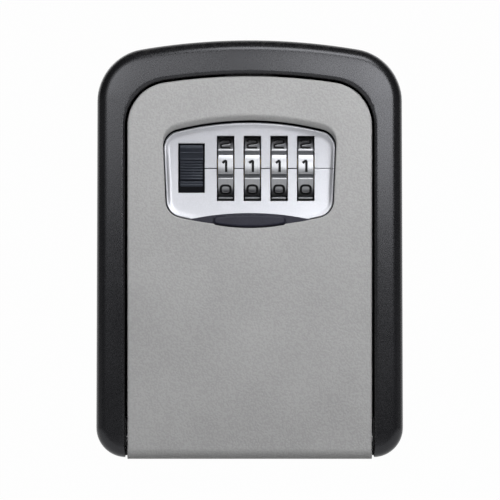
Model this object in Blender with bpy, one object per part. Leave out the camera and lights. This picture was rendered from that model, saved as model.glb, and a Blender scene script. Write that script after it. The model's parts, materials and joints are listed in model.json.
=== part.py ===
"""Wall-mounted key lock box: a die-cast case in a moulded surround, closed by a drop-down door that
carries a lock with four number dials, a thumb release and a sliding shutter.

Units are metres and +Z is up. The front faces -Y, and the origin is the centre of the back face,
which lies against the wall."""

import cmath
import math

import bmesh
import bpy
from mathutils import Matrix, Vector

# Overall size and shared clearances
BOX_WIDTH = 0.088
BOX_HEIGHT = 0.120
BOX_DEPTH = 0.040
FIT = 0.0003
DOOR_GAP = 0.0007
OVERCUT = 0.002

# Moulded surround
SURROUND_WALL = 0.0025
SURROUND_FLANGE = 0.003
SIDE_BORDER = 0.0083
TOP_BORDER = 0.0097
SIDE_DRAFT = 0.0004
CROWN_RADIUS = 0.185
CORNER_RADIUS = 0.015
FOOT_CORNER_RADIUS = 0.0085
FOOT_LIFT = 0.0005
FRONT_ROUND = 0.0020
MOUTH_CHAMFER = 0.0008
BACK_STEP = 0.0008
LUG_LENGTH = 0.010
LUG_WIDTH = 0.003
LUG_HEIGHT = 0.0008
LUG_SPACING = 0.044

# Die-cast case
CASE_WALL = 0.0025
BACK_WALL = 0.003
JAMB_GAP = 0.001
EAR_HEIGHT = 0.0085
FIXING_HOLE_RADIUS = 0.0024
FIXING_HEAD_RADIUS = 0.0046
FIXING_SPAN_X = 0.048
FIXING_SPAN_Z = 0.064

# Door casting
DOOR_SET_BACK = 0.001
DOOR_WALL = 0.0015
DOOR_RIM = 0.002
DOOR_RIM_LAP = 0.001
DOOR_CROWN_RADIUS = 0.165
DOOR_CORNER_RADIUS = 0.0125
HINGE_REACH = 0.006
DOOR_FOOT_ROUND = 0.0032
DOOR_FOOT_SKIN = 0.002
DOOR_FOOT_SLOPE = 0.004
KNUCKLE_LENGTH = 0.013
HINGE_PIN_RADIUS = 0.00125
PIN_CLEARANCE = 0.00025
BARREL_GAP = 0.0005

# Window in the door and the fascia behind it
WINDOW_HALF_TOP = 0.0251
WINDOW_HALF_FOOT = 0.0238
WINDOW_DROP = 0.023
WINDOW_HEIGHT = 0.0302
WINDOW_CROWN_RADIUS = 0.085
WINDOW_CORNER_RADIUS = 0.005
BROW_HEIGHT = 0.0015
BEZEL_THICKNESS = 0.0016
BEZEL_LAP = 0.0012
INDEX_LINE_WIDTH = 0.0004
INDEX_LINE_DEPTH = 0.0002

# Number dials and the code sleeves inside them
DIAL_COUNT = 4
DIGIT_COUNT = 10
DIAL_FIRST_X = -0.0069
DIAL_PITCH = 0.00767
DIAL_WIDTH = 0.0045
DIAL_RADIUS = 0.0112
DIAL_GROOVE_DEPTH = 0.0006
DIAL_GROOVE_ANGLE = math.radians(4.2)
DIAL_PAD_LEAD = math.radians(6.5)
DIAL_BORE_RADIUS = 0.006
DIAL_DROP = 0.0137
DIAL_PROUD = 0.0007
DIAL_SLOT_MARGIN = 0.00025
DIAL_SLOT_HEIGHT = 0.0187
CAM_FLANGE = 0.0012
CAM_STEP = 0.0028
CAM_GATE_WIDTH = 0.0022
CAM_GATE_DEPTH = 0.0026
SHAFT_RADIUS = 0.002
SHAFT_CLEARANCE = 0.00025

# Thumb release, latch bolt and code fence
SLIDER_X = -0.0167
SLIDER_SLOT_WIDTH = 0.0076
SLIDER_SLOT_TOP = 0.0072
SLIDER_SLOT_FOOT = 0.0070
SLIDER_MARGIN = 0.0004
SLIDER_FLANGE = 0.001
SLIDER_FLANGE_LAP = 0.0012
SLIDER_RIDGE = 0.0030
SLIDER_RIB_DEPTH = 0.00035
SLIDER_RIBS = 7
LATCH_TRAVEL = 0.003
BOLT_THICKNESS = 0.0016
BOLT_HEAD_HEIGHT = 0.0046
BOLT_LEG_WIDTH = 0.007
TONGUE_WIDTH = 0.014
TONGUE_REACH = 0.0026
TONGUE_BEVEL = 0.0010
FENCE_PLATE = 0.0012
FENCE_FINGER_WIDTH = 0.001
FENCE_FINGER_DEPTH = 0.0024
RIVET_RADIUS = 0.0007
RIVET_HEAD_RADIUS = 0.0011
RIVET_HEAD = 0.0006
RIVET_CROWN_RADIUS = 0.0007
SPRING_X = -0.0176
SPRING_RADIUS = 0.0018
SPRING_WIRE = 0.0003
SPRING_TURNS = 7
SPRING_PEG_HEIGHT = 0.002
SPRING_BACK_OFF = 0.0029
TAB_DROP = 0.0008
TAB_THICKNESS = 0.0015

# Lock housing, its cover and fasteners
HOUSING_WALL = 0.0014
HOUSING_LEFT_ROOM = 0.0016
DIAL_BACK_ROOM = 0.0008
DETENT_ROOM = 0.0019
HEAD_ROOM = 0.0004
BEARING_WALL = 0.0015
COVER_THICKNESS = 0.0015
COVER_CORNER_RADIUS = 0.002
POST_RADIUS = 0.0022
POST_LENGTH = 0.008
SCREW_RADIUS = 0.001
SCREW_CLEARANCE = 0.0003
SCREW_HEAD_RADIUS = 0.0019
SCREW_HEAD = 0.0011
SCREW_CROWN_RADIUS = 0.0013
EAR_RADIUS = 0.0026
EAR_THICKNESS = 0.0016
EAR_INSET = 0.0044
EAR_DROP = 0.003
EAR_BRIDGE_HALF = 0.0023
SKIRT_THICKNESS = 0.0016
SKIRT_SCREW_X = 0.022
DETENT_LEAF = 0.0004
DETENT_BASE_DEPTH = 0.0035
DETENT_FINGER_WIDTH = 0.003
DETENT_FINGER_REACH = 0.0085
DETENT_FINGER_RISE = 0.0008

# Shutter
SHUTTER_THICKNESS = 0.0009
SHUTTER_LAP = 0.0013
SHUTTER_SHOW = 0.0037
SHUTTER_TUCK = 0.0278
SHUTTER_CORNER_RADIUS = 0.002
GRIP_HALF_WIDTH = 0.0103
GRIP_HEIGHT = 0.0043
GRIP_DROP = 0.0004
GRIP_PROUD = 0.0013
GRIP_CORNER_RADIUS = 0.0015
GUIDE_WIDTH = 0.001

# Code-change lever on the dial shaft
RESET_TRAVEL = 0.002
LEVER_THICKNESS = 0.0016
LEVER_EYE_RADIUS = 0.0045
LEVER_ARM_HEIGHT = 0.005
LEVER_TAB_PROUD = 0.0016
LEVER_TAB_WIDTH = 0.0026
CLIP_THICKNESS = 0.0006
CLIP_RADIUS = 0.0033
CLIP_MOUTH = 0.0032

# Counts of flat facets on round shapes
CORNER_STEPS = 8
CROWN_STEPS = 6
ROUND_STEPS = 4
ROD_SIDES = 20
SMALL_ROD_SIDES = 12
COIL_STEPS = 10
SHARP_ANGLE = math.radians(35)
FLAT = 100.0

# Levels through the depth of the box, front to back
FRONT = -BOX_DEPTH
DOOR_FRONT = FRONT + DOOR_SET_BACK
DOOR_WALL_BACK = DOOR_FRONT + DOOR_WALL
SHUTTER_FRONT = DOOR_WALL_BACK + FIT
SHUTTER_BACK = SHUTTER_FRONT + SHUTTER_THICKNESS
DIAL_FRONT = SHUTTER_BACK + FIT
BEZEL_FRONT = DIAL_FRONT + DIAL_PROUD
BEZEL_BACK = BEZEL_FRONT + BEZEL_THICKNESS
HOUSING_FRONT = BEZEL_BACK + FIT
SLIDER_BACK = HOUSING_FRONT + SLIDER_FLANGE
BOLT_FRONT = SLIDER_BACK + FIT
BOLT_BACK = BOLT_FRONT + BOLT_THICKNESS
DOOR_RIM_BACK = BOLT_BACK + DOOR_RIM_LAP
JAMB_BACK = BOLT_FRONT - FIT
DIAL_Y = DIAL_FRONT + DIAL_RADIUS
HOUSING_BACK = DIAL_Y + DIAL_RADIUS + DIAL_BACK_ROOM
COVER_FRONT = HOUSING_BACK + FIT
COVER_BACK = COVER_FRONT + COVER_THICKNESS
FLANGE_BACK = FRONT + SURROUND_FLANGE
CASE_FRONT = FLANGE_BACK + FIT
SURROUND_BACK = -BACK_STEP
HINGE_Y = DOOR_FRONT + HINGE_REACH

# Levels up the height of the box
TOP = BOX_HEIGHT / 2
FOOT = -BOX_HEIGHT / 2
SURROUND_FOOT = FOOT + FOOT_LIFT
DOOR_TOP = TOP - TOP_BORDER - DOOR_GAP
HINGE_Z = FOOT + HINGE_REACH
WINDOW_TOP = TOP - WINDOW_DROP
WINDOW_FOOT = WINDOW_TOP - WINDOW_HEIGHT
DIAL_Z = WINDOW_TOP - DIAL_DROP
DIAL_TOP = DIAL_Z + DIAL_RADIUS
SHUTTER_TOP = WINDOW_FOOT + SHUTTER_SHOW
SHUTTER_FOOT = WINDOW_FOOT - SHUTTER_TUCK
SKIRT_STEP = SHUTTER_FOOT - FIT
SKIRT_TOP = WINDOW_FOOT - BEZEL_LAP - 2 * FIT
FENCE_FOOT = DIAL_TOP + FIT + LATCH_TRAVEL
RIVET_Z = FENCE_FOOT + RIVET_HEAD_RADIUS
FENCE_PLATE_FOOT = RIVET_Z + RIVET_HEAD_RADIUS + FIT
HEAD_TOP = FENCE_PLATE_FOOT + FENCE_PLATE
HEAD_FOOT = HEAD_TOP - BOLT_HEAD_HEIGHT
HOUSING_CEILING = HEAD_TOP + HEAD_ROOM
HOUSING_TOP = HOUSING_CEILING + HOUSING_WALL
HOUSING_FLOOR = DIAL_Z - DIAL_RADIUS - DETENT_ROOM
HOUSING_FOOT = HOUSING_FLOOR - HOUSING_WALL
CAM_RADIUS = DIAL_RADIUS - CAM_STEP
TONGUE_TOP = DOOR_TOP + TONGUE_REACH
SLOT_TOP = DIAL_Z + SLIDER_SLOT_TOP
SLOT_FOOT = DIAL_Z - SLIDER_SLOT_FOOT
TAB_TOP = DIAL_Z - TAB_DROP
TAB_FOOT = TAB_TOP - TAB_THICKNESS
EAR_Z = HOUSING_TOP - EAR_DROP
SKIRT_SCREW_Z = SKIRT_STEP - SKIRT_THICKNESS - FIT - EAR_RADIUS

# Places across the width of the box
DOOR_HALF = BOX_WIDTH / 2 - SIDE_BORDER - DOOR_GAP
RIM_HALF = DOOR_HALF - DOOR_RIM
EAR_X = RIM_HALF - EAR_INSET
CASE_INSET = SURROUND_WALL + FIT
CASE_HALF = BOX_WIDTH / 2 - CASE_INSET
SHUTTER_HALF = WINDOW_HALF_TOP + SHUTTER_LAP
GUIDE_HALF = SHUTTER_HALF + FIT
DIAL_XS = [DIAL_FIRST_X + DIAL_PITCH * i for i in range(DIAL_COUNT)]
CAM_OFFSET = DIAL_WIDTH / 2 + FIT + CAM_FLANGE
PARTITION_RIGHT = DIAL_FIRST_X - CAM_OFFSET - FIT
PARTITION_LEFT = PARTITION_RIGHT - HOUSING_WALL
BEARING_LEFT = DIAL_FIRST_X + DIAL_PITCH * DIAL_COUNT - CAM_OFFSET
BEARING_RIGHT = BEARING_LEFT + BEARING_WALL
LEVER_LEFT = BEARING_RIGHT + FIT
LEVER_RIGHT = LEVER_LEFT + LEVER_THICKNESS
CHAMBER_RIGHT = LEVER_RIGHT + FIT + CLIP_THICKNESS + RESET_TRAVEL + 2 * FIT
HOUSING_RIGHT = CHAMBER_RIGHT + HOUSING_WALL
SLIDER_HALF = SLIDER_SLOT_WIDTH / 2 - SLIDER_MARGIN
SLIDER_FLANGE_HALF = SLIDER_SLOT_WIDTH / 2 + SLIDER_FLANGE_LAP
CHANNEL_LEFT = SLIDER_X - SLIDER_FLANGE_HALF - HOUSING_LEFT_ROOM
HOUSING_LEFT = CHANNEL_LEFT - HOUSING_WALL
SPRING_Y = BOLT_BACK + SPRING_BACK_OFF


def clear_scene():
    """Removes every object of the startup scene."""
    for obj in list(bpy.data.objects):
        bpy.data.objects.remove(obj)


# Outlines in the X-Z plane, as lists of (x, z) that run anticlockwise seen from the front


def arc_points(centre, radius, start, end, steps):
    """Points of an arc from one angle to another, both ends included, about a complex centre."""
    angles = [start + (end - start) * i / steps for i in range(steps + 1)]
    return [(centre.real + radius * math.cos(a), centre.imag + radius * math.sin(a)) for a in angles]


def corner_centre(base, along, radius, arc_centre, arc_radius, upper):
    """Centre of the corner arc that touches a straight side and a crown arc from inside.

    Points of the plane are complex numbers here, and inwards is a quarter turn from the side."""
    start = base + along * 1j * radius
    offset = (start - arc_centre) * along.conjugate()
    root = math.sqrt((arc_radius - radius) ** 2 - offset.imag ** 2)
    reach = -offset.real + root if upper else -offset.real - root
    return start + along * reach


def barrel_outline(half_top, half_foot, top, foot, crown, corner, foot_crown=FLAT, foot_corner=None,
                   inset=0.0):
    """A symmetric outline with an arched top, straight sides and an arched or flat foot.

    The sides run through (half_foot, foot) and (half_top, top). The inset moves every edge inwards."""
    foot_corner = corner if foot_corner is None else foot_corner
    side = complex(half_top, top) - complex(half_foot, foot)
    along = side / abs(side)
    base = complex(half_foot, foot) + along * 1j * inset
    corner = max(corner - inset, FIT)
    foot_corner = max(foot_corner - inset, FIT)
    crown_centre = complex(0, top - crown)
    foot_centre = complex(0, foot + foot_crown)
    upper = corner_centre(base, along, corner, crown_centre, crown - inset, True)
    lower = corner_centre(base, along, foot_corner, foot_centre, foot_crown - inset, False)
    side_angle = cmath.phase(along * -1j)
    top_angle = cmath.phase(upper - crown_centre)
    foot_angle = cmath.phase(lower - foot_centre)
    foot_steps = 1 if foot_crown == FLAT else CROWN_STEPS
    right = arc_points(foot_centre, foot_crown - inset, -math.pi / 2, foot_angle, foot_steps)[:-1]
    right += arc_points(lower, foot_corner, foot_angle, side_angle, CORNER_STEPS)
    right += arc_points(upper, corner, side_angle, top_angle, CORNER_STEPS)
    right += arc_points(crown_centre, crown - inset, top_angle, math.pi / 2, CROWN_STEPS)[1:]
    left = [(-x, z) for x, z in reversed(right[1:-1])]
    return right + left


def surround_outline(inset=0.0):
    """Outside of the surround, with its arched top and rounded foot."""
    half = BOX_WIDTH / 2
    return barrel_outline(half - SIDE_DRAFT, half, TOP, SURROUND_FOOT, CROWN_RADIUS, CORNER_RADIUS,
                          foot_corner=FOOT_CORNER_RADIUS, inset=inset)


def door_outline(inset=0.0, foot=HINGE_Z):
    """Outside of the door, square at the foot."""
    return barrel_outline(DOOR_HALF, DOOR_HALF, DOOR_TOP, foot - inset, DOOR_CROWN_RADIUS,
                          DOOR_CORNER_RADIUS, foot_corner=FIT, inset=inset)


def mouth_outline(gap):
    """Opening that the door closes, run out past the foot of the box."""
    return door_outline(inset=-gap, foot=FOOT - 2 * OVERCUT)


def window_outline(brow=0.0, inset=0.0):
    """Window in the door. The brow lifts its upper edge."""
    return barrel_outline(WINDOW_HALF_TOP, WINDOW_HALF_FOOT, WINDOW_TOP + brow, WINDOW_FOOT,
                          WINDOW_CROWN_RADIUS, WINDOW_CORNER_RADIUS, WINDOW_CROWN_RADIUS, inset=inset)


def rectangle_outline(x0, x1, z0, z1, radius):
    """A rectangle with round corners."""
    corners = (complex(x1 - radius, z0 + radius), complex(x1 - radius, z1 - radius),
               complex(x0 + radius, z1 - radius), complex(x0 + radius, z0 + radius))
    points = []
    for quarter, centre in enumerate(corners):
        start = (quarter - 1) * math.pi / 2
        points += arc_points(centre, radius, start, start + math.pi / 2, ROUND_STEPS)
    return points


# Solids


def solid(name, mesh):
    """A new object that holds this bmesh, with its faces turned outwards."""
    bmesh.ops.recalc_face_normals(mesh, faces=mesh.faces)
    data = bpy.data.meshes.new(name)
    mesh.to_mesh(data)
    mesh.free()
    obj = bpy.data.objects.new(name, data)
    bpy.context.scene.collection.objects.link(obj)
    return obj


def loft(rings, name="tool"):
    """A solid skinned over rings of equal count, closed by a flat face at both ends."""
    mesh = bmesh.new()
    loops = [[mesh.verts.new(point) for point in ring] for ring in rings]
    for low, high in zip(loops, loops[1:]):
        for i in range(len(low)):
            j = (i + 1) % len(low)
            mesh.faces.new((low[i], low[j], high[j], high[i]))
    mesh.faces.new(reversed(loops[0]))
    mesh.faces.new(loops[-1])
    return solid(name, mesh)


def ring_at(outline, y):
    """An X-Z outline set at one depth."""
    return [Vector((x, y, z)) for x, z in outline]


def prism(outline, y0, y1, name="tool"):
    """An X-Z outline run straight from one depth to another."""
    return loft([ring_at(outline, y0), ring_at(outline, y1)], name)


def profile_x(points, x0, x1, name="tool"):
    """A (y, z) outline run straight across the width."""
    return loft([[Vector((x, y, z)) for y, z in points] for x in (x0, x1)], name)


def slab(x0, x1, y0, y1, z0, z1, name="tool"):
    """A block between these faces."""
    return prism([(x0, z0), (x1, z0), (x1, z1), (x0, z1)], y0, y1, name)


def circle(radius, sides):
    """Points of a circle about the origin of a plane."""
    return [(radius * math.cos(2 * math.pi * i / sides), radius * math.sin(2 * math.pi * i / sides))
            for i in range(sides)]


def rod_x(radius, x0, x1, y, z, sides=ROD_SIDES, name="tool"):
    """A round bar along the width."""
    return profile_x([(y + a, z + b) for a, b in circle(radius, sides)], x0, x1, name)


def turned_y(steps, x, z, sides=SMALL_ROD_SIDES, name="tool"):
    """A turned shape along the depth, from (y, radius) pairs."""
    return loft([[Vector((x + a, y, z + b)) for a, b in circle(r, sides)] for y, r in steps], name)


def rod_y(radius, y0, y1, x, z, sides=SMALL_ROD_SIDES, name="tool"):
    """A round bar along the depth."""
    return turned_y([(y0, radius), (y1, radius)], x, z, sides, name)


def rod_z(radius, z0, z1, x, y, sides=SMALL_ROD_SIDES, name="tool"):
    """A round bar along the height."""
    return loft([[Vector((x + a, y + b, z)) for a, b in circle(radius, sides)] for z in (z0, z1)], name)


def combine(target, tools, operation):
    """Applies a Boolean of each tool to the target, and removes the tools."""
    for tool in tools:
        modifier = target.modifiers.new("combine", "BOOLEAN")
        modifier.operation = operation
        modifier.solver = "EXACT"
        modifier.object = tool
        graph = bpy.context.evaluated_depsgraph_get()
        result = bpy.data.meshes.new_from_object(target.evaluated_get(graph))
        target.modifiers.clear()
        target.data = result
        bpy.data.objects.remove(tool)
    return target


def cut(target, *tools):
    """Takes the tools out of the target."""
    return combine(target, tools, "DIFFERENCE")


def fuse(target, *tools):
    """Adds the tools to the target as one body."""
    return combine(target, tools, "UNION")


def finish(obj, name, material, pivot=None, round_shape=False):
    """Names a piece, gives it its material and hangs it on its pivot."""
    obj.name = name
    obj.data.name = name
    obj.data.materials.clear()
    obj.data.materials.append(material)
    if round_shape:
        obj.data.shade_smooth()
        obj.data.set_sharp_from_angle(angle=SHARP_ANGLE)
    if pivot is not None:
        obj.parent = pivot
        obj.matrix_parent_inverse = pivot.matrix_world.inverted()
    return obj


def finish_each(pieces, name, material, pivot):
    """Finishes a set of like fasteners, numbered from one."""
    for number, piece in enumerate(pieces, 1):
        finish(piece, f"{name}_{number}", material, pivot, round_shape=True)


def pivot_at(name, x, y, z, parent=None):
    """An empty on the axis of a joint."""
    empty = bpy.data.objects.new(name, None)
    bpy.context.scene.collection.objects.link(empty)
    empty.location = (x, y, z)
    bpy.context.view_layer.update()
    if parent is not None:
        empty.parent = parent
        empty.matrix_parent_inverse = parent.matrix_world.inverted()
        bpy.context.view_layer.update()
    return empty


def material_of(name, colour, roughness, metallic):
    """A plain surface finish."""
    material = bpy.data.materials.new(name)
    material.use_nodes = True
    shader = material.node_tree.nodes["Principled BSDF"]
    shader.inputs["Base Color"].default_value = (*colour, 1.0)
    shader.inputs["Roughness"].default_value = roughness
    shader.inputs["Metallic"].default_value = metallic
    return material


# Case, surround and hinge pin


def outer_surround():
    """Black moulded cover: a round-cornered sleeve with a front flange on three sides."""
    rings = []
    for step in range(ROUND_STEPS + 1):
        angle = math.pi / 2 * step / ROUND_STEPS
        rings.append(ring_at(surround_outline(FRONT_ROUND * (1 - math.sin(angle))),
                             FRONT + FRONT_ROUND * (1 - math.cos(angle))))
    rings.append(ring_at(surround_outline(), SURROUND_BACK))
    body = loft(rings)
    mouth = loft([ring_at(mouth_outline(DOOR_GAP + MOUTH_CHAMFER + OVERCUT), FRONT - OVERCUT),
                  ring_at(mouth_outline(DOOR_GAP), FRONT + MOUTH_CHAMFER),
                  ring_at(mouth_outline(DOOR_GAP), FLANGE_BACK + OVERCUT)])
    pocket = prism(surround_outline(SURROUND_WALL), FLANGE_BACK, OVERCUT)
    swing = slab(-DOOR_HALF - DOOR_GAP, DOOR_HALF + DOOR_GAP, FRONT - OVERCUT,
                 HINGE_Y + HINGE_REACH + BARREL_GAP, FOOT - OVERCUT, HINGE_Z)
    cut(body, mouth, pocket, swing)
    inner = BOX_WIDTH / 2 - SURROUND_WALL
    lugs = [snap_lug(side, level, inner + SURROUND_WALL / 2, inner - LUG_HEIGHT, 0.0)
            for side in (-1, 1) for level in (-1, 1)]
    return fuse(body, *lugs)


def snap_lug(side, level, outer, inner, margin):
    """One catch between the surround and the case, grown by a margin to make its pocket."""
    middle_y = FLANGE_BACK / 2
    x0, x1 = sorted((side * outer, side * inner))
    z = level * LUG_SPACING / 2
    return slab(x0, x1, middle_y - LUG_WIDTH / 2 - margin, middle_y + LUG_WIDTH / 2 + margin,
                z - LUG_LENGTH / 2 - margin, z + LUG_LENGTH / 2 + margin)


def rear_case():
    """Die-cast tray with a front jamb, hinge ears and countersunk holes for the wall screws."""
    body = prism(surround_outline(CASE_INSET), CASE_FRONT, 0.0)
    cavity = prism(surround_outline(CASE_INSET + CASE_WALL), JAMB_BACK, -BACK_WALL)
    mouth = prism(mouth_outline(JAMB_GAP), CASE_FRONT - OVERCUT, JAMB_BACK + OVERCUT / 2)
    wall_front = HINGE_Y + HINGE_REACH + BARREL_GAP + DOOR_GAP
    swing = slab(-DOOR_HALF - JAMB_GAP, DOOR_HALF + JAMB_GAP, CASE_FRONT - OVERCUT, wall_front,
                 FOOT - OVERCUT, HINGE_Z)
    cut(body, cavity, mouth, swing)
    ear_foot = SURROUND_FOOT + CASE_INSET
    for side in (-1, 1):
        x0, x1 = sorted((side * (DOOR_HALF + FIT), side * (CASE_HALF - CASE_WALL / 2)))
        ear = slab(x0, x1, CASE_FRONT + FIT, HINGE_Y + HINGE_REACH, ear_foot - OVERCUT, ear_foot + EAR_HEIGHT)
        trim = prism(surround_outline(CASE_INSET + FIT), CASE_FRONT - OVERCUT, 0.0)
        fuse(body, combine(ear, [trim], "INTERSECT"))
    cut(body, rod_x(HINGE_PIN_RADIUS + PIN_CLEARANCE, -BOX_WIDTH, BOX_WIDTH, HINGE_Y, HINGE_Z))
    for side in (-1, 1):
        for level in (-1, 1):
            cut(body, snap_lug(side, level, CASE_HALF + OVERCUT,
                               BOX_WIDTH / 2 - SURROUND_WALL - LUG_HEIGHT - FIT, FIT))
            sink = FIXING_HEAD_RADIUS - FIXING_HOLE_RADIUS
            hole = turned_y([(-BACK_WALL - OVERCUT, FIXING_HEAD_RADIUS + OVERCUT),
                             (-BACK_WALL + sink, FIXING_HOLE_RADIUS), (OVERCUT, FIXING_HOLE_RADIUS)],
                            side * FIXING_SPAN_X / 2, level * FIXING_SPAN_Z / 2, ROD_SIDES)
            cut(body, hole)
    return body


def hinge_pin():
    """Steel rod through both case ears and the knuckles of the door."""
    half = CASE_HALF - CASE_WALL
    return rod_x(HINGE_PIN_RADIUS, -half, half, HINGE_Y, HINGE_Z, SMALL_ROD_SIDES)


# Door casting and the shutter that slides in it


def door_foot_profile():
    """Side view of the rolled foot of the door, concentric with the hinge behind and below."""
    front_corner = arc_points(complex(DOOR_FRONT + DOOR_FOOT_ROUND, FOOT + DOOR_FOOT_ROUND), DOOR_FOOT_ROUND,
                              math.pi, 1.5 * math.pi, ROUND_STEPS)
    barrel = arc_points(complex(HINGE_Y, HINGE_Z), HINGE_REACH, -math.pi / 2, math.pi / 2, 2 * CORNER_STEPS)
    shoulder = HINGE_Z + HINGE_REACH + DOOR_FOOT_SLOPE
    return front_corner + barrel + [(DOOR_WALL_BACK, shoulder), (DOOR_FRONT, shoulder)]


def door_foot_core():
    """Side view of the hollow between the two knuckles, open towards the inside of the box."""
    radius = HINGE_REACH - DOOR_FOOT_SKIN
    bowl = arc_points(complex(HINGE_Y, HINGE_Z), radius, math.pi, 2 * math.pi, 2 * ROUND_STEPS)
    high = HINGE_Z + HINGE_REACH + DOOR_FOOT_SLOPE + OVERCUT
    return bowl + [(HINGE_Y + HINGE_REACH + OVERCUT, HINGE_Z), (HINGE_Y + HINGE_REACH + OVERCUT, high),
                   (HINGE_Y - radius, high)]


def door_panel():
    """Grey die-cast door: a thin face with a rim, a window, a rolled foot and bosses for the lock."""
    body = prism(door_outline(), DOOR_FRONT, DOOR_RIM_BACK)
    pocket_foot = HINGE_Z + HINGE_REACH
    cut(body, prism(door_outline(DOOR_RIM, pocket_foot), DOOR_WALL_BACK, DOOR_RIM_BACK + OVERCUT))
    behind = slab(-DOOR_HALF - OVERCUT, DOOR_HALF + OVERCUT, DOOR_WALL_BACK, DOOR_RIM_BACK + OVERCUT,
                  HINGE_Z - OVERCUT, pocket_foot + OVERCUT)
    cut(body, behind)
    fuse(body, profile_x(door_foot_profile(), -DOOR_HALF, DOOR_HALF))
    knuckle = DOOR_HALF - KNUCKLE_LENGTH
    cut(body, profile_x(door_foot_core(), -knuckle, knuckle))
    cut(body, rod_x(HINGE_PIN_RADIUS + PIN_CLEARANCE, -BOX_WIDTH, BOX_WIDTH, HINGE_Y, HINGE_Z))
    for side in (-1, 1):
        fuse(body, shutter_guide(side))
        fuse(body, rod_y(EAR_RADIUS, DOOR_WALL_BACK - DOOR_WALL / 2, BEZEL_BACK, side * EAR_X, EAR_Z))
        fuse(body, rod_y(EAR_RADIUS, DOOR_WALL_BACK - DOOR_WALL / 2, BEZEL_BACK,
                         side * SKIRT_SCREW_X, SKIRT_SCREW_Z))
        for x, z in ((EAR_X, EAR_Z), (SKIRT_SCREW_X, SKIRT_SCREW_Z)):
            cut(body, rod_y(SCREW_RADIUS + SCREW_CLEARANCE, DOOR_WALL_BACK, DOOR_RIM_BACK, side * x, z))
    cut(body, window_cutter(), grip_notch(), tongue_slot(DOOR_TOP - 2 * DOOR_RIM, DOOR_TOP + OVERCUT))
    return body


def shutter_guide(side):
    """Rib on the back of the door that keeps one edge of the shutter in line."""
    x0, x1 = sorted((side * GUIDE_HALF, side * (GUIDE_HALF + GUIDE_WIDTH)))
    return slab(x0, x1, DOOR_WALL_BACK - DOOR_WALL / 2, BEZEL_BACK, SHUTTER_FOOT, DIAL_TOP)


def window_cutter():
    """Window with a sloping brow along its upper edge."""
    return loft([ring_at(window_outline(BROW_HEIGHT), DOOR_FRONT - OVERCUT),
                 ring_at(window_outline(BROW_HEIGHT), DOOR_FRONT),
                 ring_at(window_outline(), DOOR_WALL_BACK),
                 ring_at(window_outline(), DOOR_WALL_BACK + DOOR_WALL)])


def grip_outline(inset=0.0):
    """Finger grip on the shutter, curved like the edges above and below it."""
    top = SHUTTER_TOP - GRIP_DROP
    return barrel_outline(GRIP_HALF_WIDTH, GRIP_HALF_WIDTH, top, top - GRIP_HEIGHT, WINDOW_CROWN_RADIUS,
                          GRIP_CORNER_RADIUS, WINDOW_CROWN_RADIUS, inset=inset)


def grip_notch():
    """Clearance for the finger grip at the foot of the window."""
    return prism(grip_outline(-FIT), DOOR_FRONT - OVERCUT, DOOR_WALL_BACK + OVERCUT / 2)


def tongue_slot(z0, z1):
    """Slot that the tongue of the latch bolt slides through."""
    return slab(-TONGUE_WIDTH / 2 - FIT, TONGUE_WIDTH / 2 + FIT, BOLT_FRONT - FIT, BOLT_BACK + FIT, z0, z1)


def shutter():
    """Thin plate that is pushed up over the dials, with a finger grip near its upper edge."""
    outline = barrel_outline(SHUTTER_HALF, SHUTTER_HALF, SHUTTER_TOP, SHUTTER_FOOT, WINDOW_CROWN_RADIUS,
                             SHUTTER_CORNER_RADIUS)
    body = prism(outline, SHUTTER_FRONT, SHUTTER_BACK)
    grip = prism(grip_outline(), SHUTTER_FRONT - GRIP_PROUD, SHUTTER_FRONT + SHUTTER_THICKNESS / 2)
    return fuse(body, grip)


# Fascia, dials and code sleeves


def bezel():
    """Silver fascia with a slot for each dial, one for the thumb release and an index line."""
    body = prism(window_outline(inset=-BEZEL_LAP), BEZEL_FRONT, BEZEL_BACK)
    slot_half = DIAL_WIDTH / 2 + DIAL_SLOT_MARGIN
    y0, y1 = BEZEL_FRONT - OVERCUT, BEZEL_BACK + OVERCUT
    for x in DIAL_XS:
        cut(body, slab(x - slot_half, x + slot_half, y0, y1,
                       DIAL_Z - DIAL_SLOT_HEIGHT / 2, DIAL_Z + DIAL_SLOT_HEIGHT / 2))
    cut(body, slab(SLIDER_X - SLIDER_SLOT_WIDTH / 2, SLIDER_X + SLIDER_SLOT_WIDTH / 2, y0, y1,
                   SLOT_FOOT, SLOT_TOP))
    edges = [SLIDER_X + SLIDER_SLOT_WIDTH / 2]
    for x in DIAL_XS:
        edges += [x - slot_half, x + slot_half]
    edges.append(WINDOW_HALF_TOP)
    for x0, x1 in zip(edges[::2], edges[1::2]):
        cut(body, slab(x0 + FIT, x1 - FIT, y0, BEZEL_FRONT + INDEX_LINE_DEPTH,
                       DIAL_Z - INDEX_LINE_WIDTH / 2, DIAL_Z + INDEX_LINE_WIDTH / 2))
    return body


def dial_profile():
    """Side view of a dial about its axis: one raised pad for each digit, with grooves between.

    The lead sets the front pad a little above the index line."""
    points = []
    pitch = 2 * math.pi / DIGIT_COUNT
    for digit in range(DIGIT_COUNT):
        start = (digit - 0.5) * pitch - DIAL_PAD_LEAD
        pad_start = start + DIAL_GROOVE_ANGLE / 2
        pad_end = start + pitch - DIAL_GROOVE_ANGLE / 2
        low = DIAL_RADIUS - DIAL_GROOVE_DEPTH
        points += arc_points(0j, DIAL_RADIUS, pad_start, pad_end, ROUND_STEPS)
        points += arc_points(0j, low, pad_end, pad_end + DIAL_GROOVE_ANGLE, 1)
    return points


def dial_ring():
    """Number dial about the origin, with its axis along X."""
    body = profile_x(dial_profile(), -DIAL_WIDTH / 2, DIAL_WIDTH / 2)
    return cut(body, rod_x(DIAL_BORE_RADIUS, -DIAL_WIDTH, DIAL_WIDTH, 0, 0, 2 * SMALL_ROD_SIDES))


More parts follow.
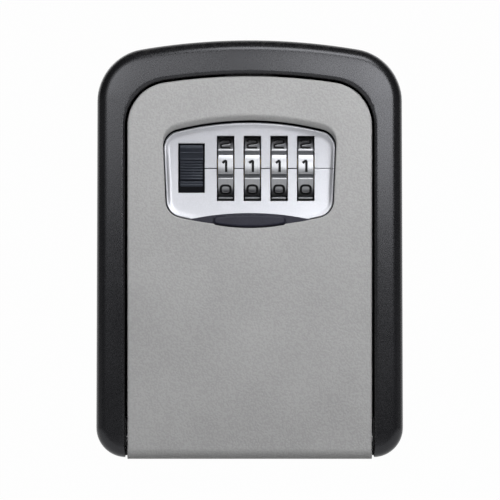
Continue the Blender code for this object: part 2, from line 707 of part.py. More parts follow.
def code_sleeve():
    """Sleeve inside a dial, with a gated flange beside it, about the same origin as the dial."""
    left = -CAM_OFFSET
    right = DIAL_PITCH - CAM_OFFSET - FIT
    sides = 2 * SMALL_ROD_SIDES
    body = rod_x(DIAL_BORE_RADIUS - FIT, left, right, 0, 0, sides)
    fuse(body, rod_x(CAM_RADIUS, left, left + CAM_FLANGE, 0, 0, sides))
    gate = slab(left - OVERCUT, left + CAM_FLANGE, -CAM_GATE_WIDTH / 2, CAM_GATE_WIDTH / 2,
                CAM_RADIUS - CAM_GATE_DEPTH, CAM_RADIUS + OVERCUT)
    return cut(body, gate, rod_x(SHAFT_RADIUS + SHAFT_CLEARANCE, left - OVERCUT, right + OVERCUT, 0, 0))


def set_of_dials(dial_material, sleeve_material, parent):
    """Four dials and their sleeves, each pair turning about the shaft."""
    dial_mesh = dial_ring()
    sleeve_mesh = code_sleeve()
    for number, x in enumerate(DIAL_XS, 1):
        turn = pivot_at(f"dial_{number}_axis", x, DIAL_Y, DIAL_Z, parent)
        for name, source, material in (("dial", dial_mesh, dial_material),
                                       ("code_sleeve", sleeve_mesh, sleeve_material)):
            piece = bpy.data.objects.new("piece", source.data.copy())
            bpy.context.scene.collection.objects.link(piece)
            piece.data.transform(Matrix.Translation((x, DIAL_Y, DIAL_Z)))
            finish(piece, f"{name}_{number}", material, turn, round_shape=True)
    bpy.data.objects.remove(dial_mesh)
    bpy.data.objects.remove(sleeve_mesh)


# Lock housing, cover and fasteners


def screw(x, z, seat, length):
    """Pan-head screw driven from the back, with its head seated at this depth."""
    head = [(seat + SCREW_HEAD, SCREW_CROWN_RADIUS), (seat + SCREW_HEAD / 2, SCREW_HEAD_RADIUS),
            (seat, SCREW_HEAD_RADIUS)]
    shank = [(seat - FIT / 2, SCREW_RADIUS), (seat - length, SCREW_RADIUS)]
    return turned_y(head + shank, x, z)


def post_places():
    """Where the cover is screwed to the housing."""
    left = CHANNEL_LEFT + POST_RADIUS / 2
    right = CHAMBER_RIGHT - POST_RADIUS / 2
    low = HOUSING_FLOOR + POST_RADIUS / 2
    high = HOUSING_CEILING - POST_RADIUS / 2
    return [(x, z) for x in (left, right) for z in (low, high)]


def lock_housing():
    """Black moulded frame that carries the dial shaft, guides the bolt and backs the shutter."""
    body = slab(HOUSING_LEFT, HOUSING_RIGHT, HOUSING_FRONT, HOUSING_BACK, HOUSING_FOOT, HOUSING_TOP)
    y0, y1 = HOUSING_FRONT - OVERCUT, HOUSING_BACK + OVERCUT
    chambers = ((CHANNEL_LEFT, PARTITION_LEFT), (PARTITION_RIGHT, BEARING_LEFT),
                (BEARING_RIGHT, CHAMBER_RIGHT))
    for x0, x1 in chambers:
        cut(body, slab(x0, x1, y0, y1, HOUSING_FLOOR, HOUSING_CEILING))
    cut(body, slab(PARTITION_LEFT - FIT, PARTITION_RIGHT + FIT, y0, BOLT_FRONT,
                   HOUSING_FLOOR + FIT / 2, HOUSING_CEILING - FIT / 2))
    passage_back = DIAL_Y + FENCE_FINGER_DEPTH
    cut(body, slab(CHANNEL_LEFT + FIT, CHAMBER_RIGHT - FIT, y0, passage_back,
                   HEAD_FOOT - LATCH_TRAVEL - 2 * FIT, HOUSING_CEILING - FIT / 2))
    cut(body, rod_x(SHAFT_RADIUS + SHAFT_CLEARANCE, PARTITION_LEFT - OVERCUT, BEARING_RIGHT + OVERCUT,
                    DIAL_Y, DIAL_Z))
    cut(body, tongue_slot(HOUSING_CEILING - OVERCUT, HOUSING_TOP + OVERCUT))
    fuse(body, rod_z(SPRING_RADIUS - 2 * SPRING_WIRE - FIT, HOUSING_FLOOR - HOUSING_WALL / 2,
                     HOUSING_FLOOR + SPRING_PEG_HEIGHT, SPRING_X, SPRING_Y))
    for x, z in post_places():
        fuse(body, rod_y(POST_RADIUS, HOUSING_BACK - POST_LENGTH, HOUSING_BACK, x, z))
        cut(body, rod_y(SCREW_RADIUS + SCREW_CLEARANCE, HOUSING_BACK - POST_LENGTH + FIT,
                        HOUSING_BACK + OVERCUT, x, z))
    add_ears(body)
    add_skirt(body)
    return body


def add_ears(body):
    """Two ears that screw the top of the housing to the door."""
    for side, wall in ((-1, CHANNEL_LEFT), (1, CHAMBER_RIGHT)):
        x0, x1 = sorted((side * EAR_X, wall - side * HOUSING_WALL / 2 + side * HOUSING_WALL))
        back = HOUSING_FRONT + EAR_THICKNESS
        fuse(body, slab(x0, x1, HOUSING_FRONT, back, EAR_Z - EAR_BRIDGE_HALF, EAR_Z + EAR_BRIDGE_HALF))
        fuse(body, rod_y(EAR_RADIUS, HOUSING_FRONT, back, side * EAR_X, EAR_Z))
        cut(body, rod_y(SCREW_RADIUS + SCREW_CLEARANCE, HOUSING_FRONT - OVERCUT, back + OVERCUT,
                        side * EAR_X, EAR_Z))
        cut(body, rod_y(SCREW_HEAD_RADIUS + FIT, back, HOUSING_BACK + OVERCUT, side * EAR_X, EAR_Z))


def add_skirt(body):
    """Plate below the dials that holds the lowered shutter against the door."""
    front = SHUTTER_BACK + FIT
    half = SHUTTER_HALF - FIT
    back = HOUSING_FRONT + SKIRT_THICKNESS
    fuse(body, slab(-half, half, HOUSING_FRONT, back, SKIRT_TOP - SKIRT_THICKNESS, HOUSING_FLOOR))
    fuse(body, slab(-half, half, front, back, SKIRT_TOP - SKIRT_THICKNESS, SKIRT_TOP))
    fuse(body, slab(-half, half, front, front + SKIRT_THICKNESS, SKIRT_STEP - SKIRT_THICKNESS, SKIRT_TOP))
    fuse(body, slab(-half, half, SHUTTER_FRONT, back, SKIRT_STEP - SKIRT_THICKNESS, SKIRT_STEP))
    fuse(body, slab(-half, half, HOUSING_FRONT, back, SKIRT_SCREW_Z - EAR_RADIUS, SKIRT_STEP))
    for side in (-1, 1):
        cut(body, rod_y(SCREW_RADIUS + SCREW_CLEARANCE, HOUSING_FRONT - OVERCUT, back + OVERCUT,
                        side * SKIRT_SCREW_X, SKIRT_SCREW_Z))


def housing_screws():
    """Four screws that hold the housing to the bosses on the door."""
    seat = HOUSING_FRONT + EAR_THICKNESS + FIT
    skirt_seat = HOUSING_FRONT + SKIRT_THICKNESS + FIT
    pieces = []
    for side in (-1, 1):
        pieces.append(screw(side * EAR_X, EAR_Z, seat, seat - DOOR_WALL_BACK - FIT))
        pieces.append(screw(side * SKIRT_SCREW_X, SKIRT_SCREW_Z, skirt_seat,
                            skirt_seat - DOOR_WALL_BACK - FIT))
    return pieces


def lock_cover():
    """Flat plate over the back of the lock, slotted for the code-change lever."""
    outline = rectangle_outline(HOUSING_LEFT, HOUSING_RIGHT, HOUSING_FOOT, HOUSING_TOP, COVER_CORNER_RADIUS)
    body = prism(outline, COVER_FRONT, COVER_BACK)
    y0, y1 = COVER_FRONT - OVERCUT, COVER_BACK + OVERCUT
    for x, z in post_places():
        cut(body, rod_y(SCREW_RADIUS + SCREW_CLEARANCE, y0, y1, x, z))
    tab_side = (LEVER_TAB_WIDTH - LEVER_THICKNESS) / 2 + 2 * FIT
    arm = LEVER_ARM_HEIGHT / 2 + 2 * FIT
    return cut(body, slab(LEVER_LEFT - tab_side, LEVER_RIGHT + RESET_TRAVEL + tab_side, y0, y1,
                          DIAL_Z - arm, DIAL_Z + arm))


def cover_screws():
    """Four screws that hold the cover to the housing posts."""
    seat = COVER_BACK + FIT
    length = COVER_THICKNESS + FIT + POST_LENGTH - SCREW_RADIUS
    return [screw(x, z, seat, length) for x, z in post_places()]


def detent_spring():
    """Leaf spring with one finger that clicks under each dial."""
    floor = HOUSING_FLOOR + FIT
    base_back = HOUSING_BACK - FIT
    base_front = base_back - DETENT_BASE_DEPTH
    body = slab(PARTITION_RIGHT + FIT, BEARING_LEFT - FIT, base_front, base_back, floor, floor + DETENT_LEAF)
    tip = base_front - DETENT_FINGER_REACH
    rise = floor + DETENT_FINGER_RISE
    root = base_front + DETENT_BASE_DEPTH / 2
    leaf = [(root, floor), (root, floor + DETENT_LEAF), (base_front, floor + DETENT_LEAF),
            (tip, rise + DETENT_LEAF), (tip, rise), (base_front, floor)]
    for x in DIAL_XS:
        half = DETENT_FINGER_WIDTH / 2
        fuse(body, profile_x(leaf, x - half, x + half))
    return body


# Thumb release, bolt and fence, which slide down together


def slider_front():
    """Front edge of the thumb release from top to foot as (y, z): a proud ridge, then a ribbed slope."""
    top = SLOT_TOP - SLIDER_MARGIN
    shelf = (DIAL_FRONT + BEZEL_BACK) / 2
    ridge_top = top - SLIDER_RIDGE / 2
    ridge_foot = top - SLIDER_RIDGE
    slope_foot = SLOT_FOOT + LATCH_TRAVEL
    points = [(HOUSING_FRONT, top), (shelf, top), (shelf, ridge_top), (DIAL_FRONT, ridge_top - FIT),
              (DIAL_FRONT, ridge_foot)]
    for rib in range(1, SLIDER_RIBS + 1):
        share = rib / SLIDER_RIBS
        y = DIAL_FRONT + (HOUSING_FRONT - SLIDER_RIB_DEPTH - DIAL_FRONT) * share
        z = ridge_foot + (slope_foot - ridge_foot) * share
        rise = (ridge_foot - slope_foot) / SLIDER_RIBS
        points += [(y + SLIDER_RIB_DEPTH, z + rise * 2 / 3), (y, z + rise / 3)]
    return points + [(HOUSING_FRONT, slope_foot)]


def release_slider():
    """Black thumb release: a ribbed wedge in the fascia's slot, on a flange behind it."""
    wedge_back = HOUSING_FRONT + SLIDER_FLANGE / 2
    front = slider_front()
    wedge = profile_x([(wedge_back, front[0][1])] + front + [(wedge_back, front[-1][1])],
                      SLIDER_X - SLIDER_HALF, SLIDER_X + SLIDER_HALF)
    body = slab(SLIDER_X - SLIDER_FLANGE_HALF, SLIDER_X + SLIDER_FLANGE_HALF, HOUSING_FRONT, SLIDER_BACK,
                SLOT_FOOT - LATCH_TRAVEL + FIT, SLOT_TOP + LATCH_TRAVEL + FIT)
    fuse(body, wedge)
    return cut(body, rod_y(SCREW_RADIUS + SCREW_CLEARANCE, slider_screw_tip() - FIT, SLIDER_BACK + OVERCUT,
                           SLIDER_X, slider_screw_z()))


def slider_screw_z():
    """Height of the screw, behind the proud ridge of the thumb release."""
    return SLOT_TOP - SLIDER_MARGIN - SLIDER_RIDGE


def slider_screw_tip():
    """Depth that the tip of the slider's screw reaches, short of the ridge's face."""
    return DIAL_FRONT + SLIDER_FLANGE


def slider_screw():
    """Screw that joins the thumb release to the bolt."""
    seat = BOLT_BACK + FIT
    return screw(SLIDER_X, slider_screw_z(), seat, seat - slider_screw_tip())


def rivet_places():
    """Where the fence is riveted to the head of the bolt."""
    return [(DIAL_XS[0] - DIAL_PITCH / 2, RIVET_Z), (DIAL_XS[-1] - DIAL_PITCH / 2, RIVET_Z)]


def latch_bolt():
    """Steel latch plate: a leg behind the thumb release, a cross head and the tongue that locks."""
    leg_left = SLIDER_X - BOLT_LEG_WIDTH / 2
    leg_right = SLIDER_X + BOLT_LEG_WIDTH / 2
    leg_foot = SLOT_FOOT
    head_right = DIAL_XS[-1] + DIAL_WIDTH / 2
    tongue = TONGUE_WIDTH / 2
    outline = [(leg_left, leg_foot), (leg_right, leg_foot), (leg_right, HEAD_FOOT), (head_right, HEAD_FOOT),
               (head_right, HEAD_TOP), (tongue, HEAD_TOP), (tongue, TONGUE_TOP), (-tongue, TONGUE_TOP),
               (-tongue, HEAD_TOP), (leg_left, HEAD_TOP)]
    body = prism(outline, BOLT_FRONT, BOLT_BACK)
    reach = SPRING_RADIUS + FIT
    fuse(body, slab(SPRING_X - reach, SPRING_X + reach, BOLT_BACK - BOLT_THICKNESS / 2, SPRING_Y + reach,
                    TAB_FOOT, TAB_TOP))
    bevel = [(BOLT_BACK - TONGUE_BEVEL, TONGUE_TOP + OVERCUT), (BOLT_BACK - TONGUE_BEVEL, TONGUE_TOP),
             (BOLT_BACK, TONGUE_TOP - TONGUE_BEVEL),
             (BOLT_BACK + OVERCUT, TONGUE_TOP - TONGUE_BEVEL - OVERCUT),
             (BOLT_BACK + OVERCUT, TONGUE_TOP + OVERCUT)]
    cut(body, profile_x(bevel, -TONGUE_WIDTH, TONGUE_WIDTH))
    for x, z in rivet_places():
        cut(body, rod_y(RIVET_RADIUS + FIT, BOLT_FRONT - OVERCUT, BOLT_BACK + OVERCUT, x, z))
    return cut(body, rod_y(SCREW_RADIUS + SCREW_CLEARANCE, BOLT_FRONT - OVERCUT, BOLT_BACK + OVERCUT,
                           SLIDER_X, slider_screw_z()))


def code_fence():
    """Comb on the bolt whose fingers come down beside the dials onto the gated flanges."""
    front = BOLT_BACK + FIT
    left = DIAL_XS[0] - DIAL_PITCH / 2 - RIVET_HEAD_RADIUS
    right = DIAL_XS[-1] + DIAL_WIDTH / 2
    back = DIAL_Y + FENCE_FINGER_DEPTH / 2
    body = slab(left, right, front, front + FENCE_PLATE, FENCE_FOOT, HEAD_TOP)
    fuse(body, slab(left, right, front, back, FENCE_PLATE_FOOT, HEAD_TOP))
    finger_foot = DIAL_Z + CAM_RADIUS + FIT + LATCH_TRAVEL
    for x in DIAL_XS:
        middle = x - CAM_OFFSET + CAM_FLANGE / 2
        fuse(body, slab(middle - FENCE_FINGER_WIDTH / 2, middle + FENCE_FINGER_WIDTH / 2,
                        back - FENCE_FINGER_DEPTH, back, finger_foot, HEAD_TOP - FENCE_PLATE / 2))
    for x, z in rivet_places():
        cut(body, rod_y(RIVET_RADIUS + FIT, front - OVERCUT, front + FENCE_PLATE + OVERCUT, x, z))
    return body


def fence_rivets():
    """Two rivets through the fence and the head of the bolt."""
    front = BOLT_FRONT - FIT
    back = BOLT_BACK + FIT + FENCE_PLATE + FIT
    steps = [(front - RIVET_HEAD, RIVET_CROWN_RADIUS), (front, RIVET_HEAD_RADIUS),
             (front + FIT / 2, RIVET_RADIUS), (back - FIT / 2, RIVET_RADIUS),
             (back, RIVET_HEAD_RADIUS), (back + RIVET_HEAD, RIVET_CROWN_RADIUS)]
    return [turned_y(steps, x, z) for x, z in rivet_places()]


def coil_points():
    """Centre line of the latch spring, from the housing floor up to the bolt's tab."""
    low = HOUSING_FLOOR + FIT + SPRING_WIRE
    high = TAB_FOOT - FIT - SPRING_WIRE
    count = SPRING_TURNS * COIL_STEPS
    mean = SPRING_RADIUS - SPRING_WIRE
    points = []
    for i in range(count + 1):
        angle = 2 * math.pi * i / COIL_STEPS
        points.append(Vector((SPRING_X + mean * math.cos(angle), SPRING_Y + mean * math.sin(angle),
                              low + (high - low) * i / count)))
    return points


def least_coil_gap(points):
    """Smallest space between the wire of one turn and that of another."""
    apart = COIL_STEPS // 2
    distances = [(a - b).length for i, a in enumerate(points) for b in points[i + apart:]]
    return min(distances) - 2 * SPRING_WIRE


def latch_spring():
    """Coil spring that stands on the housing floor and pushes the bolt up by its tab."""
    points = coil_points()
    print(f"latch_spring: least gap between turns {least_coil_gap(points) * 1000:.2f} mm")
    curve = bpy.data.curves.new("latch_spring", "CURVE")
    curve.dimensions = "3D"
    curve.bevel_depth = SPRING_WIRE
    curve.bevel_resolution = 1
    curve.use_fill_caps = True
    line = curve.splines.new("POLY")
    line.points.add(len(points) - 1)
    for knot, place in zip(line.points, points):
        knot.co = (*place, 1.0)
    obj = bpy.data.objects.new("latch_spring", curve)
    bpy.context.scene.collection.objects.link(obj)
    return obj


# Dial shaft and the lever that shifts it to change the code


def dial_shaft():
    """Steel shaft that the sleeves turn on."""
    left = PARTITION_LEFT - RESET_TRAVEL - 2 * FIT
    right = LEVER_RIGHT + FIT + CLIP_THICKNESS
    return rod_x(SHAFT_RADIUS, left, right, DIAL_Y, DIAL_Z)


def reset_lever():
    """Lever on the end of the shaft, with a tab that stands out of the cover."""
    eye = rod_x(LEVER_EYE_RADIUS, LEVER_LEFT, LEVER_RIGHT, DIAL_Y, DIAL_Z)
    half = LEVER_ARM_HEIGHT / 2
    tab_back = COVER_BACK + LEVER_TAB_PROUD
    side = (LEVER_TAB_WIDTH - LEVER_THICKNESS) / 2
    fuse(eye, slab(LEVER_LEFT, LEVER_RIGHT, DIAL_Y, tab_back - FIT, DIAL_Z - half, DIAL_Z + half))
    fuse(eye, slab(LEVER_LEFT - side, LEVER_RIGHT + side, COVER_BACK - COVER_THICKNESS / 2, tab_back,
                   DIAL_Z - half - FIT, DIAL_Z + half + FIT))
    return cut(eye, rod_x(SHAFT_RADIUS + SHAFT_CLEARANCE, LEVER_LEFT - OVERCUT, LEVER_RIGHT + OVERCUT,
                          DIAL_Y, DIAL_Z))


def shaft_clip():
    """Open spring clip that keeps the lever on the shaft."""
    left = LEVER_RIGHT + FIT
    right = left + CLIP_THICKNESS
    body = rod_x(CLIP_RADIUS, left, right, DIAL_Y, DIAL_Z)
    cut(body, rod_x(SHAFT_RADIUS + SHAFT_CLEARANCE, left - OVERCUT, right + OVERCUT, DIAL_Y, DIAL_Z))
    return cut(body, slab(left - OVERCUT, right + OVERCUT, DIAL_Y - CLIP_MOUTH / 2, DIAL_Y + CLIP_MOUTH / 2,
                          DIAL_Z - 2 * CLIP_RADIUS, DIAL_Z))


def main():
    """Builds every piece and hangs the moving ones on their pivots."""
    clear_scene()
    black_paint = material_of("black_case_paint", (0.018, 0.018, 0.020), 0.5, 0.0)
    black_plastic = material_of("black_plastic", (0.020, 0.020, 0.022), 0.45, 0.0)
    inner_plastic = material_of("inner_black_plastic", (0.025, 0.025, 0.027), 0.55, 0.0)
    grey_paint = material_of("grey_textured_paint", (0.36, 0.36, 0.36), 0.55, 0.0)
    silver = material_of("silver_fascia", (0.62, 0.63, 0.67), 0.35, 0.3)
    dial_metal = material_of("dial_chrome", (0.60, 0.61, 0.64), 0.3, 0.9)
    brass = material_of("sleeve_brass", (0.55, 0.42, 0.20), 0.35, 1.0)
    steel = material_of("bright_steel", (0.50, 0.50, 0.52), 0.35, 1.0)
    shutter_grey = material_of("shutter_plastic", (0.050, 0.048, 0.062), 0.4, 0.0)
    cover_paint = material_of("cover_paint", (0.030, 0.030, 0.032), 0.5, 0.0)

    finish(outer_surround(), "outer_surround", black_plastic, round_shape=True)
    finish(rear_case(), "rear_case", black_paint, round_shape=True)
    finish(hinge_pin(), "hinge_pin", steel, round_shape=True)

    hinge = pivot_at("door_hinge_axis", 0, HINGE_Y, HINGE_Z)
    finish(door_panel(), "door_panel", grey_paint, hinge, round_shape=True)
    finish(bezel(), "bezel", silver, hinge, round_shape=True)
    finish(lock_housing(), "lock_housing", inner_plastic, hinge, round_shape=True)
    finish(lock_cover(), "lock_cover", cover_paint, hinge, round_shape=True)
    finish_each(housing_screws(), "housing_screw", steel, hinge)
    finish_each(cover_screws(), "cover_screw", steel, hinge)
    finish(detent_spring(), "detent_spring", steel, hinge)
    finish(latch_spring(), "latch_spring", steel, hinge)
    set_of_dials(dial_metal, brass, hinge)

    glide = pivot_at("shutter_slide_axis", 0, SHUTTER_BACK, SHUTTER_FOOT, hinge)
    finish(shutter(), "shutter", shutter_grey, glide, round_shape=True)

    release = pivot_at("latch_slide_axis", SLIDER_X, BOLT_FRONT, DIAL_Z, hinge)
    finish(release_slider(), "release_slider", black_plastic, release)
    finish(latch_bolt(), "latch_bolt", steel, release)
    finish(code_fence(), "code_fence", steel, release)
    finish_each(fence_rivets(), "fence_rivet", steel, release)
    finish(slider_screw(), "slider_screw", steel, release, round_shape=True)

    change = pivot_at("reset_slide_axis", LEVER_LEFT, DIAL_Y, DIAL_Z, hinge)
    finish(dial_shaft(), "dial_shaft", steel, change, round_shape=True)
    finish(reset_lever(), "reset_lever", inner_plastic, change, round_shape=True)
    finish(shaft_clip(), "shaft_clip", steel, change, round_shape=True)


main()
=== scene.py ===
"""The looks of a wall-mounted key lock box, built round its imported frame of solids.

Lengths are metres. X runs to the right, Y from the front to the wall and Z up.
"""

import cmath
import json
import logging
import math
from collections.abc import Callable, Iterable
from dataclasses import dataclass, field, replace
from enum import Enum
from typing import ClassVar

import bmesh
import bpy
from mathutils import Matrix, Vector

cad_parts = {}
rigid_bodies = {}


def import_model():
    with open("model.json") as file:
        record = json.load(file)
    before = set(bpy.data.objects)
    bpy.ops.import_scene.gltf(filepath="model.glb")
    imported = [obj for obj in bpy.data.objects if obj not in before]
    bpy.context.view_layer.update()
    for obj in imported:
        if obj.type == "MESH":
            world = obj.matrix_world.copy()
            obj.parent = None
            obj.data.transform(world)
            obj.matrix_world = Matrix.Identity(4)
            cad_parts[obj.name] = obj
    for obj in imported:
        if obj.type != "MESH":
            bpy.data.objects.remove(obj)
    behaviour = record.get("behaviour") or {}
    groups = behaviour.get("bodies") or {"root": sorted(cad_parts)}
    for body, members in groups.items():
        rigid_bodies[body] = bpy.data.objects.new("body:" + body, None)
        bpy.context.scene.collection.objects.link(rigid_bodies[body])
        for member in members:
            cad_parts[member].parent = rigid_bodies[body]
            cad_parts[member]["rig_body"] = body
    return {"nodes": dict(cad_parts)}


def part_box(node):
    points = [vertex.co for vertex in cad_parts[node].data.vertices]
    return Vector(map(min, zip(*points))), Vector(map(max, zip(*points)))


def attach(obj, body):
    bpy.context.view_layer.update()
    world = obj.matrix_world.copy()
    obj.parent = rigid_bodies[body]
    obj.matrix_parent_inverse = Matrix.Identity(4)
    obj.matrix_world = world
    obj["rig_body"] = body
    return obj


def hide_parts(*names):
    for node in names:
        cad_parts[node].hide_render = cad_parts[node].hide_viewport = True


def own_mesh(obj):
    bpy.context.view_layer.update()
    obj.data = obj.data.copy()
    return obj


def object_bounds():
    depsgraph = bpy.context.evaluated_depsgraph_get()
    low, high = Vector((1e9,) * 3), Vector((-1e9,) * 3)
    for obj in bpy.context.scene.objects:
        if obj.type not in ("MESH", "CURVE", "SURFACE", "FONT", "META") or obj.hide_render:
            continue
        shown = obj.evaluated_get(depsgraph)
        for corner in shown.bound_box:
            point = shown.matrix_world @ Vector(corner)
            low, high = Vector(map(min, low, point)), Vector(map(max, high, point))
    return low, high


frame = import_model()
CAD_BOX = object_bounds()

LOG = logging.getLogger("key_lock_box")

Colour = tuple[float, float, float]
Place = tuple[float, float, float]
Ring = list[Vector]

FLAT = 100.0
FIT = 0.0003
OVERCUT = 0.002
SOFT_ANGLE = math.radians(32)
ROUND_SIDES = 40
BORE_SIDES = 24
FRONT_EDGE_STEPS = 5
BACK_EDGE_STEPS = 4
SIDE_EDGE_STEPS = 3

WINDOW_ARCH = 0.085
WINDOW_TOP = 0.0370
SIDE_DRAFT = 0.0004
GRIP_DROP = 0.0004
GRIP_HEIGHT = 0.00365

PEN_STEP = 0.0002
BEND_SHARES = (0, 0.17, 0.33, 0.5, 0.67, 0.83, 1)
SHARPEST_BEND = 0.75

WEAR_SCALE = 420.0
WEAR_EDGE = (0.015, 0.16)
WEAR_PATCHES = (0.38, 0.66)
DUST_SCALE = 900.0
DUST_SLOPE = (0.25, 0.95)
DUST_SPECKS = (0.4, 0.75)
DRIFT_SCALE = 46.0
DRIFT_RANGE = (0.32, 0.68)
COARSE_RANGE = (0.3, 0.7)
TONE_RANGE = (0.2, 0.8)
FINE_GRAIN = 3.1
GRAIN_SHARE = 0.55
DRIFT_SHARE = 0.45
DUST_COLOUR = (0.42, 0.41, 0.39, 1.0)
DUST_ROUGHNESS = 0.4

NODE_ROW = 8
NODE_GRID = (190, -260)


# Outlines


def arc(centre: complex, radius: float, start: float, end: float, steps: int) -> list[complex]:
    """Gives the points of an arc, both ends included.

    Args:
        centre: Middle of the arc in its plane.
        radius: Radius of the arc.
        start: Angle of the first point.
        end: Angle of the last point.
        steps: How many chords the arc is cut into.

    Returns:
        The points in order, one more than the steps.
    """
    return [centre + cmath.rect(radius, start + (end - start) * i / steps) for i in range(steps + 1)]


def edge_round(radius: float, steps: int) -> list[tuple[float, float]]:
    """Gives the (inset, depth) pairs of a rounded edge, from the face round to the side.

    Args:
        radius: Radius of the edge.
        steps: How many chords the quarter is cut into.

    Returns:
        Pairs that start on the face and end on the side.
    """
    turns = [math.pi / 2 * i / steps for i in range(steps + 1)]
    return [(radius * (1 - math.sin(turn)), radius * (1 - math.cos(turn))) for turn in turns]


@dataclass(frozen=True)
class ArchedOutline:
    """A symmetric front view with an arched top, straight sides and an arched or flat foot."""

    half_top: float
    half_foot: float
    top: float
    foot: float
    crown: float
    corner: float
    foot_corner: float
    foot_crown: float = FLAT
    corner_steps: int = 16
    crown_steps: int = 16
    side_steps: int = 1

    @staticmethod
    def corner_centre(base: complex, along: complex, radius: float, middle: complex, reach: float,
                      upper: bool) -> complex:
        """Finds the centre of the corner arc that touches a straight side and a crown arc from inside.

        Args:
            base: Foot of the straight side.
            along: Unit direction of the side, upwards.
            radius: Radius of the corner.
            middle: Centre of the crown arc.
            reach: Radius of the crown arc.
            upper: Whether the corner is at the top.

        Returns:
            The centre of the corner.
        """
        start = base + along * 1j * radius
        offset = (start - middle) * along.conjugate()
        root = math.sqrt((reach - radius) ** 2 - offset.imag ** 2)
        return start + along * (root - offset.real if upper else -offset.real - root)

    def points(self, inset: float = 0.0) -> list[complex]:
        """Runs round the outline with every edge moved inwards.

        Args:
            inset: How far the edges move inwards.

        Returns:
            X and Z as complex numbers, the same count for every inset.
        """
        side = complex(self.half_top, self.top) - complex(self.half_foot, self.foot)
        along = side / abs(side)
        base = complex(self.half_foot, self.foot) + along * 1j * inset
        corner = max(self.corner - inset, FIT)
        foot_corner = max(self.foot_corner - inset, FIT)
        crown_middle = complex(0, self.top - self.crown)
        foot_middle = complex(0, self.foot + self.foot_crown)
        upper = self.corner_centre(base, along, corner, crown_middle, self.crown - inset, True)
        lower = self.corner_centre(base, along, foot_corner, foot_middle, self.foot_crown - inset, False)
        side_angle = cmath.phase(along * -1j)
        top_angle = cmath.phase(upper - crown_middle)
        foot_angle = cmath.phase(lower - foot_middle)
        right = arc(foot_middle, self.foot_crown - inset, -math.pi / 2, foot_angle, self.crown_steps)[:-1]
        right += arc(lower, foot_corner, foot_angle, side_angle, self.corner_steps)
        shoulder = arc(upper, corner, side_angle, top_angle, self.corner_steps)
        right += [right[-1] + (shoulder[0] - right[-1]) * i / self.side_steps
                  for i in range(1, self.side_steps)]
        right += shoulder
        right += arc(crown_middle, self.crown - inset, top_angle, math.pi / 2, self.crown_steps)[1:]
        return right + [complex(-p.real, p.imag) for p in reversed(right[1:-1])]

    def ring(self, inset: float, y: float) -> Ring:
        """Sets the outline, moved inwards, at one depth."""
        return [Vector((p.real, y, p.imag)) for p in self.points(inset)]


def surround_outline() -> ArchedOutline:
    """Gives the outside of the surround, sized from the frame."""
    low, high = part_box("outer_surround")
    return ArchedOutline(high.x - SIDE_DRAFT, high.x, high.z, low.z, crown=0.185, corner=0.015,
                         foot_corner=0.0085)


def door_outline(foot: float) -> ArchedOutline:
    """Gives the outside of the door, sized from the frame and run down to a foot."""
    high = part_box("door_panel")[1]
    return ArchedOutline(high.x, high.x, high.z, foot, crown=0.165, corner=0.0125, foot_corner=FIT)


def window_outline(brow: float = 0.0) -> ArchedOutline:
    """Gives the window in the door, with its upper edge lifted by a brow."""
    return ArchedOutline(half_top=0.0251, half_foot=0.0238, top=WINDOW_TOP + brow, foot=0.0068,
                         crown=WINDOW_ARCH, corner=0.005, foot_corner=0.005, foot_crown=WINDOW_ARCH)


def grip_outline() -> ArchedOutline:
    """Gives the finger grip of the shutter, bowed like the foot of the window.

    Returns:
        The outline, placed from the top of the shutter.
    """
    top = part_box("shutter")[1].z - GRIP_DROP
    return ArchedOutline(half_top=0.0103, half_foot=0.0103, top=top, foot=top - GRIP_HEIGHT,
                         crown=WINDOW_ARCH, corner=0.0010, foot_corner=0.0010, foot_crown=0.055,
                         corner_steps=8, crown_steps=8)


# Meshes


def stand(name: str, data: bpy.types.ID) -> bpy.types.Object:
    """Adds an object with its data to the scene.

    Args:
        name: Name of the object.
        data: Its mesh, lamp or camera.

    Returns:
        The new object.
    """
    obj = bpy.data.objects.new(name, data)
    bpy.context.scene.collection.objects.link(obj)
    return obj


def solid(mesh: bmesh.types.BMesh, name: str = "tool") -> bpy.types.Object:
    """Turns a bmesh into an object of the scene, with its faces outwards.

    Args:
        mesh: The bmesh, which is used up.
        name: Name of the object.

    Returns:
        The new object.
    """
    bmesh.ops.recalc_face_normals(mesh, faces=mesh.faces)
    data = bpy.data.meshes.new(name)
    mesh.to_mesh(data)
    mesh.free()
    return stand(name, data)


def loft(rings: list[Ring], endless: bool = False, strips: bool = False) -> bpy.types.Object:
    """Skins a solid over rings of equal count.

    Args:
        rings: Rings of points in order.
        endless: Whether the last ring joins the first, in place of two ends.
        strips: Whether the last end is filled by level strips between its mirrored halves.

    Returns:
        The new object.
    """
    mesh = bmesh.new()
    loops = [[mesh.verts.new(point) for point in ring] for ring in rings]
    pairs = list(zip(loops, loops[1:]))
    if endless:
        pairs.append((loops[-1], loops[0]))
    for low, high in pairs:
        for i in range(len(low)):
            j = (i + 1) % len(low)
            mesh.faces.new((low[i], low[j], high[j], high[i]))
    if not endless:
        mesh.faces.new(reversed(loops[0]))
    if strips:
        last, count = loops[-1], len(loops[-1])
        for i in range(count // 2):
            around = (i, i + 1, count - i - 1, (count - i) % count)
            mesh.faces.new([last[k] for k in dict.fromkeys(around)])
    elif not endless:
        mesh.faces.new(loops[-1])
    return solid(mesh)


